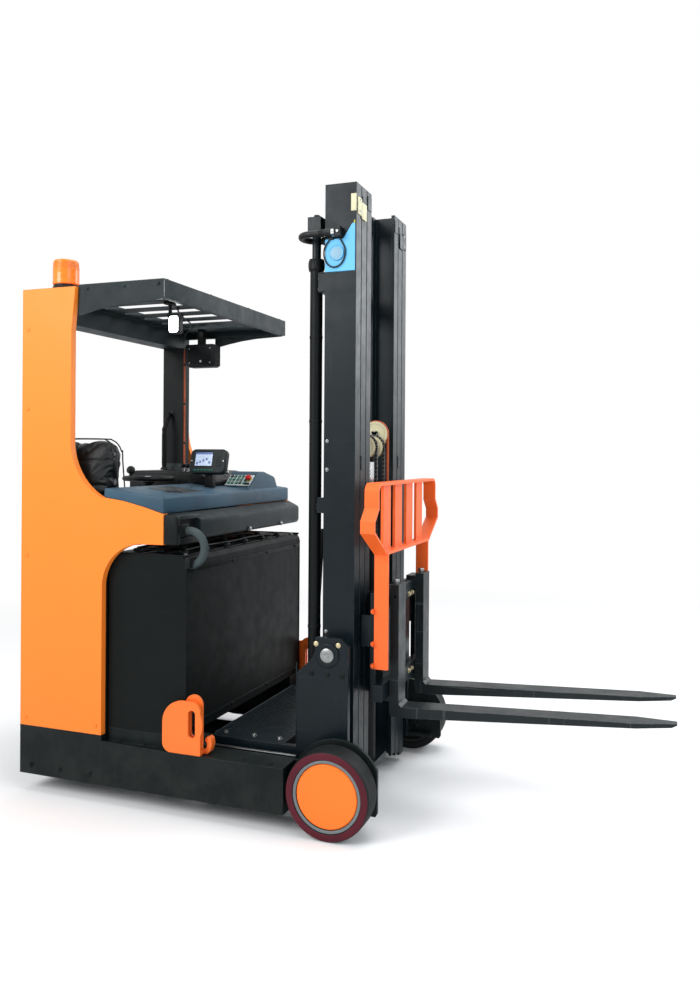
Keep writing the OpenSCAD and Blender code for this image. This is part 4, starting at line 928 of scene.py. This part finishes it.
def mast_details():
    b = Build("mast_fixings", "mast_paint", "mast_outer_body")
    for s in (-1, 1):
        f = (lambda a, c: (min(s * a, s * c), max(s * a, s * c)))
        # slide pad wrapped round the rail's top front corner
        pad, mark = ("cream", "yellow") if s < 0 else ("mast", "mast")
        y0, y1 = f(300, 350)
        b.prism([(y0, 2510), (y1, 2510), (y1, 2583), (y0, 2583)], 1484.6, 1489, pad, "yz", 1.6, 2)
        y0, y1 = f(244, 304)
        b.prism([(y0, 2500), (y1, 2500), (y1, 2570), (y0, 2570)], 1486.4, 1490.4, pad, "yz", 1.6, 2)
        y0, y1 = f(359.6, 362)
        b.box((1461, y0, 2520), (1485.4, y1, 2592), pad, 1, 2)
        b.box((1474, y0, 2466), (1480, y1, 2482), mark, 0.8, 1)
        for z in (2524, 2573):
            b.lathe([(0, 0), (6, 0), (6, 1.6), (3.2, 1.6), (3.2, 0.6), (0, 0.6)], "steel", (0, 0, 0), "z", 20,
                    Matrix.Translation((1488.6, s * 322, z)) @ Matrix.Rotation(math.radians(90), 4, "Y"))
        # pad screws down the rails, weld beads at the ties
        for z in (700, 1500):
            for k in (-1, 1):
                b.bolt((1360, s * 360, z + k * 60), (0, s, 0), 6, "steel")
        for z in (1260, 1320, 2190, 2270):
            b.tube([(1318, s * 359.2, z), (1332, s * 360.2, z), (1345, s * 360.2, z)], 3, "mast", 8, 4)
        for z in (1260, 1320, 2190, 2270):
            b.tube([(1336.4, -298, z), (1336.4, 0, z), (1336.4, 298, z)], 2.4, "mast", 8, 3)
        # pin end
        b.lathe([(0, 450), (27, 450), (29.8, 447.4), (29.8, 449.6), (26, 452), (10, 452.6), (8, 450.6), (0, 450.6)],
                "steel", (1400, 0, 680), "y", 40) if s > 0 else b.lathe(
            [(0, -450), (27, -450), (29.8, -447.4), (29.8, -449.6), (26, -452), (10, -452.6), (8, -450.6), (0, -450.6)],
            "steel", (1400, 0, 680), "y", 40)
        # cylinder feet and straps
        for z in (1276, 1292, 2206, 2250):
            b.bolt((1312, s * 338, z), (-1, 0, 0), 5.5, "zinc")
        b.box((1333, f(80, 120)[0], 1262), (1340, f(80, 120)[1], 1318), "mast", 2, 2)
    b.rod((1325, -150, 2232), (1325, -150, 2246), 16, "steel", 24)
    for k in range(4):
        y = -90 + k * 22
        b.tube([(1340, y, 250), (1338, y, 700), (1338, y, 1240)], 5, "hose", 8, 4)
        b.box((1334, y - 8, 900), (1345, y + 8, 914), "steel", 2, 2)
    b.done()

    b = Build("mast_side_plates", "blue_plate", "mast_outer_body")
    for s in (-1, 1):
        sheet = [(1345.5, 2272), (1480, 2272), (1480, 2476), (1466, 2468), (1428, 2409), (1345.5, 2409)]
        b.prism(sheet, min(s * 359.9, s * 361.4), max(s * 359.9, s * 361.4), "blue", "xz", 0.5, 1)
        prof = [(0, 369), (22, 369), (27, 367.6), (30.8, 366), (30.8, 361)]
        b.lathe([(r, s * h) for r, h in prof], "boss", (1399, 0, 2348), "y", 48, keys=["boss", "boss", "steel", "steel"])
        loop = [(1376, 2412)] + [(1390 + 48 * math.cos(a), 2350 + 61 * math.sin(a)) for a in
                                 (math.radians(120 + 36 * k) for k in range(9))] + [(1412, 2414)]
        b.tube([(x, s * 366, z) for x, z in loop], 3.4, "hose", 10, 4)
        b.box((1366, min(s * 361, s * 370), 2405), (1384, max(s * 361, s * 370), 2419), "hose", 2, 2)
        b.box((1404, min(s * 361, s * 370), 2407), (1420, max(s * 361, s * 370), 2421), "hose", 2, 2)
    b.done()


def mast_inner_parts():
    b = Build("middle_mast_pads", "mast_paint", "mast_middle_body")
    for s in (-1, 1):
        for z in (2600, 1500):
            b.box((1484.8, min(s * 240, s * 286), z - 60), (1487.4, max(s * 240, s * 286), z), "mast", 1, 1)
        b.tube([(1356.5, s * 228, 2600), (1356.5, 0, 2600), (1356.5, -s * 228, 2600)], 2.4, "mast", 8, 2)
        y = s * 305
        b.lathe([(19.2, 0), (25, 0), (25, 7), (19.2, 8)], "black", (1284, y, 2450), "z", 32)
        b.bolt((1284, y, 2518), (0, 0, 1), 14, "black")
    b.done()
    b = Build("inner_mast_pads", "mast_paint", "mast_inner_body")
    for s in (-1, 1):
        b.box((1484.8, min(s * 172, s * 220), 2560), (1487.4, max(s * 172, s * 220), 2620), "mast", 1, 1)
        b.lathe([(36.2, 0), (43, 1), (43, 28), (36.2, 30)], "steel", (1424, 0, 1252), "z", 6) if s > 0 else None
    for k in range(3):
        b.bolt((1375.4, -60 + k * 60, 2605), (1, 0, 0), 7, "steel")
    b.done()


def cylinders():
    b = Build("lift_cylinder_glands", "black_steel", "mast_outer_body")
    for s in (-1, 1):
        x, y = 1284, s * 305
        b.lathe([(32.2, -46), (34.4, -44), (34.4, -8), (30, -1), (23, 1.6), (19.3, 1.6)], "black", (x, y, 2340), "z", 48)
        for k in range(4):
            xf = Matrix.Translation((x, y, 2340)) @ Matrix.Rotation(TAU * k / 4 + 0.4, 4, "Z")
            b.box((-4, 32, -36), (4, 35.4, -14), "black", 1, 1, xf)
        b.lathe([(27.2, 0), (30, 1), (30, 22), (27.2, 24)], "black", (x, y, 330), "z", 48)
        b.rod((x - 26, y, 372), (x - 44, y, 372), 9, "steel", 20)
        b.tube([(x - 42, y, 372), (x - 58, y - s * 6, 384), (x - 58, y - s * 30, 440), (x - 28, y - s * 60, 600), (x - 4, y - s * 66, 900),
                (x + 10, y - s * 66, 1180)], 7, "hose", 10, 6)
        for z in (760, 1640, 2000):
            b.lathe([(27, 0), (28.4, 1), (28.4, 13), (27, 14)], "black", (x, y, z), "z", 40)
    b.done()


def hose_ends():
    b = Build("hose_loop_ferrules", "hose", "mast_outer_body")
    for x0, x1, y in ((1352, 1398, -376), (1288, 1313, -250)):
        b.rod((x0, y, 2433), (x1, y, 2433), 17, "hose", 24, 2)
        b.lathe([(16, 0), (19.5, 0), (19.5, 14), (16, 14)], "steel", (x1 - 16, y, 2433), "x", 6)
        for k in range(3):
            b.lathe([(14, -2), (17.6, 0), (14, 2)], "hose", (x0 - 10 - k * 7, y, 2433), "x", 24)
    b.box((1401, -390, 2416), (1423, -361, 2450), "mast", 3, 3)
    b.bolt((1412, -390, 2433), (0, -1, 0), 7, "steel")
    b.done()


def reach_details():
    b = Build("reach_carriage_fixings", "mast_paint", "reach_body")
    for s in (-1, 1):
        prof = [(31, 439.5), (50, 439.5), (50, 445), (46, 448.5), (36, 449.5), (31, 449.5), (31, 439.5)]
        b.lathe([(r, s * h) for r, h in prof], "mast", (1400, 0, 680), "y", 56)
        for x in (1349, 1447):
            b.bolt((x, s * 440, 724), (0, s, 0), 8, "zinc")
        for x in (1330, 1400, 1465):
            b.bolt((x, s * 440, 600), (0, s, 0), 8, "black")
        b.tube([(1262, s * 440.4, 300), (1262, s * 440.4, 500), (1262, s * 440.4, 640)], 2.6, "mast", 8, 3)
        for x in (900, 1040, 1160):
            b.bolt((x, s * 380, 290), (0, 0, 1), 9, "steel")
    # tread on the tray
    for i in range(15):
        for j in range(30):
            x, y = 874 + i * 22, -340 + j * 23.4
            xf = Matrix.Translation((x, y, 290)) @ Matrix.Rotation(math.radians(45 if (i + j) % 2 else -45), 4, "Z")
            b.box((-8, -1.8, -0.5), (8, 1.8, 1.6), "mast", 0.8, 1, xf)
    b.tube([(862, -408, 291), (862, 0, 291), (862, 408, 291)], 2.4, "mast", 8, 2)
    b.done()


def hooks():
    b = Build("hook_fixings", "hook_paint", "chassis")
    for s in (-1, 1):
        b.tube([(826, s * 614.5, 281), (870, s * 614.5, 281.5), (910, s * 614.5, 281)], 2.6, "hook", 8, 3)
        b.lathe([(0, 591.5), (13, 591.5), (13, 589), (8, 588.4), (0, 588.4)] if s > 0 else
                [(0, -591.5), (13, -591.5), (13, -589), (8, -588.4), (0, -588.4)], "hook", (872, 0, 466), "y", 28)
        # curled lug at the foot
        pts = [(906, 264), (930, 264), (944, 278), (951, 306), (947, 330), (934, 338), (922, 332), (918, 318), (926, 312), (928, 296),
               (920, 284), (906, 280)]
        b.prism(pts, min(s * 560, s * 594), max(s * 560, s * 594), "hook", "xz", 3, 2)
        b.bolt((868, s * 606, 281), (0, 0, 1), 7, "hook")
    b.done()


def leg_details():
    b = Build("leg_fixings", "chassis_paint", "chassis")
    for s in (-1, 1):
        for k in range(7):
            b.bolt((500 + k * 120, s * 590, 263), (0, 0, 1), 7, "black")
        b.box((900, min(s * 470, s * 486), 263), (1280, max(s * 470, s * 486), 268), "steel", 1.5, 2)
        for k in range(8):
            a = TAU * k / 8
            b.bolt((1470 + 62 * math.cos(a), s * 495, 175 + 62 * math.sin(a)), (0, -s, 0), 7, "black")
        b.lathe([(0, 0), (44, 0), (46, -3), (44, -8), (0, -9)], "black", (0, 0, 0), "z", 40,
                Matrix.Translation((1470, s * 495, 175)) @ Matrix.Rotation(math.radians(-90 * s), 4, "X"))
    b.done()


def fork_parts():
    b = Build("fork_fixings", "fork_paint", "fork_body")
    for s in (-1, 1):
        y = s * 195
        b.lathe([(0, 0), (11, 0), (11, 16), (14, 18), (14, 28), (11, 31), (0, 31.6)], "steel", (1618, y, 942), "z", 24)
        b.rod((1628, y - 50, 905), (1628, y + 50, 905), 7, "fork", 16)
        b.tube([(1605.4, y - 50.5, 870), (1605.6, y - 50.5, 700), (1605.6, y - 50.5, 560)], 1.8, "fork", 8, 3)
    b.done()
    b = Build("backrest_fixings", "backrest_paint", "fork_body")
    for s in (-1, 1):
        for z in (852, 717, 626):
            b.bolt((1560, s * 332, z), (-1, 0, 0), 9, "backrest")
    for y in (-250, -85, 85, 250):
        for z, e in ((1103, 1), (1377, -1)):
            b.tube([(1579, y - 50, z), (1579, y, z), (1579, y + 50, z)], 2.4, "backrest", 8, 3)
    for s in (-1, 1):
        b.tube([(1561.5, s * 319, 1092), (1590, s * 319, 1092), (1618, s * 319, 1092)], 2.6, "backrest", 8, 3)
    b.done()
    b = Build("carriage_fixings", "mast_paint", "fork_body")
    for s in (-1, 1):
        for z in (520, 870):
            b.bolt((1600, s * 110, z), (1, 0, 0), 9, "zinc")
            b.bolt((1600, s * 60, z), (1, 0, 0), 9, "zinc")
        for k in range(9):
            b.box((1570, s * 40 + s * k * 30 - 2, 924.4), (1590, s * 40 + s * k * 30 + 2, 926.8), "mast", 0.8, 1)
        b.rod((1515, s * 52, 560), (1515, s * 52, 592), 9, "steel", 16)
        b.lathe([(0, 0), (15, 0), (15, 12), (0, 12)], "steel", (1515, s * 52, 560), "z", 6)
    b.done()


def handle():
    b = Build("grab_handle_grip", "handle_grip", "chassis")
    for k in range(16):
        b.lathe([(11.8, 0), (13.6, 1.2), (13.6, 6.8), (11.8, 8)], "grip", (60, 430, 1440 + k * 11), "z", 28)
    b.lathe([(12, 0), (20, 0), (21, 4), (15, 12), (12, 13)], "plastic", (60, 430, 1415), "z", 28)
    b.lathe([(12, 0), (20, 0), (21, -4), (15, -7), (12, -7.5)], "plastic", (60, 500, 1726.6), "y", 28)
    b.done()


load_wheel("right", -1)
load_wheel("left", 1)
drive_wheel()
steering()
dash()
display()
button_panel()
console()
bumper()
panel_trim()
battery()
beacon()
work_lamp()
lamp_box()
guard_details()
pedals()
seat()
free_head()
mast_details()
mast_inner_parts()
cylinders()
hose_ends()
reach_details()
hooks()
leg_details()
fork_parts()
handle()


# stage, light and camera

def make_stage():
    me = bpy.data.meshes.new("floor")
    s = 30
    me.from_pydata([(-s, -s, 0), (s, -s, 0), (s, s, 0), (-s, s, 0)], [], [(0, 1, 2, 3)])
    fl = bpy.data.objects.new("floor", me)
    bpy.context.collection.objects.link(fl)
    m = Mat("floor_pale")
    m.t.nodes.remove(m.p)
    diff = m.n("ShaderNodeBsdfDiffuse")
    diff.inputs["Color"].default_value = (0.86, 0.86, 0.86, 1)
    far = m.n("ShaderNodeEmission")
    far.inputs["Color"].default_value = (1, 1, 1, 1)
    dist = m.n("ShaderNodeVectorMath", operation="LENGTH")
    m.l(m.co, dist.inputs[0])
    seen = m.n("ShaderNodeLightPath").outputs["Is Camera Ray"]
    fade = m.n("ShaderNodeMixShader")
    m.l(m.math("MULTIPLY", m.ramp(dist.outputs["Value"], 2.2, 6.0), seen), fade.inputs[0])
    m.l(diff.outputs[0], fade.inputs[1])
    m.l(far.outputs[0], fade.inputs[2])
    m.l(fade.outputs[0], m.out.inputs["Surface"])
    me.materials.append(m.m)
    w = bpy.data.worlds.new("world")
    bpy.context.scene.world = w
    w.use_nodes = True
    nt = w.node_tree
    nt.nodes.clear()
    out = nt.nodes.new("ShaderNodeOutputWorld")
    lit = nt.nodes.new("ShaderNodeBackground")
    lit.inputs[0].default_value = (0.93, 0.96, 1.0, 1)
    lit.inputs[1].default_value = 0.62
    white = nt.nodes.new("ShaderNodeBackground")
    white.inputs[0].default_value = (1, 1, 1, 1)
    white.inputs[1].default_value = 1.0
    mix = nt.nodes.new("ShaderNodeMixShader")
    lp = nt.nodes.new("ShaderNodeLightPath")
    both = nt.nodes.new("ShaderNodeMath")
    both.operation = "MAXIMUM"
    third = nt.nodes.new("ShaderNodeMath")
    third.operation = "MAXIMUM"
    nt.links.new(lp.outputs["Is Camera Ray"], both.inputs[0])
    nt.links.new(lp.outputs["Is Glossy Ray"], both.inputs[1])
    nt.links.new(both.outputs[0], third.inputs[0])
    nt.links.new(lp.outputs["Is Transmission Ray"], third.inputs[1])
    nt.links.new(third.outputs[0], mix.inputs[0])
    nt.links.new(lit.outputs[0], mix.inputs[1])
    nt.links.new(white.outputs[0], mix.inputs[2])
    nt.links.new(mix.outputs[0], out.inputs[0])

    def area(name, loc, target, size, power, color=(1, 1, 1)):
        d = bpy.data.lights.new(name, "AREA")
        d.shape = "RECTANGLE"
        d.size, d.size_y = size
        d.energy = power
        d.color = color
        ob = bpy.data.objects.new(name, d)
        bpy.context.collection.objects.link(ob)
        ob.location = loc
        ob.rotation_euler = (Vector(target) - Vector(loc)).to_track_quat("-Z", "Y").to_euler()
        return ob

    area("key", (-3.2, -5.0, 4.2), (0, 0, 1.1), (3.0, 3.0), 270)
    area("fill", (4.2, -3.4, 2.4), (0.2, 0, 1.1), (2.4, 3.4), 70, (0.88, 0.96, 1.0))
    area("top", (0.4, 0.3, 5.6), (0, 0, 0.5), (4.5, 3.5), 190)
    area("rim", (3.4, 4.6, 3.4), (0.2, 0, 1.2), (3.0, 3.0), 160, (0.92, 0.96, 1.0))

    cam = bpy.data.cameras.new("camera")
    co = bpy.data.objects.new("camera", cam)
    bpy.context.collection.objects.link(co)
    cam.sensor_fit = "VERTICAL"
    cam.sensor_height = 36
    cam.sensor_width = 36
    cam.lens = 854.4 / 1000 * 36
    cam.shift_x = -0.0011
    cam.shift_y = -0.0448
    cam.clip_end = 100
    co.matrix_world = (Matrix.Translation(P(2.699, -3.697, 1.502)) @ Matrix.Rotation(math.radians(20.25), 4, "Z")
                       @ Matrix.Rotation(math.radians(90), 4, "X") @ Matrix.Rotation(math.radians(0.375), 4, "Z"))
    bpy.context.scene.camera = co


make_stage()
bpy.context.scene.view_settings.view_transform = "Standard"
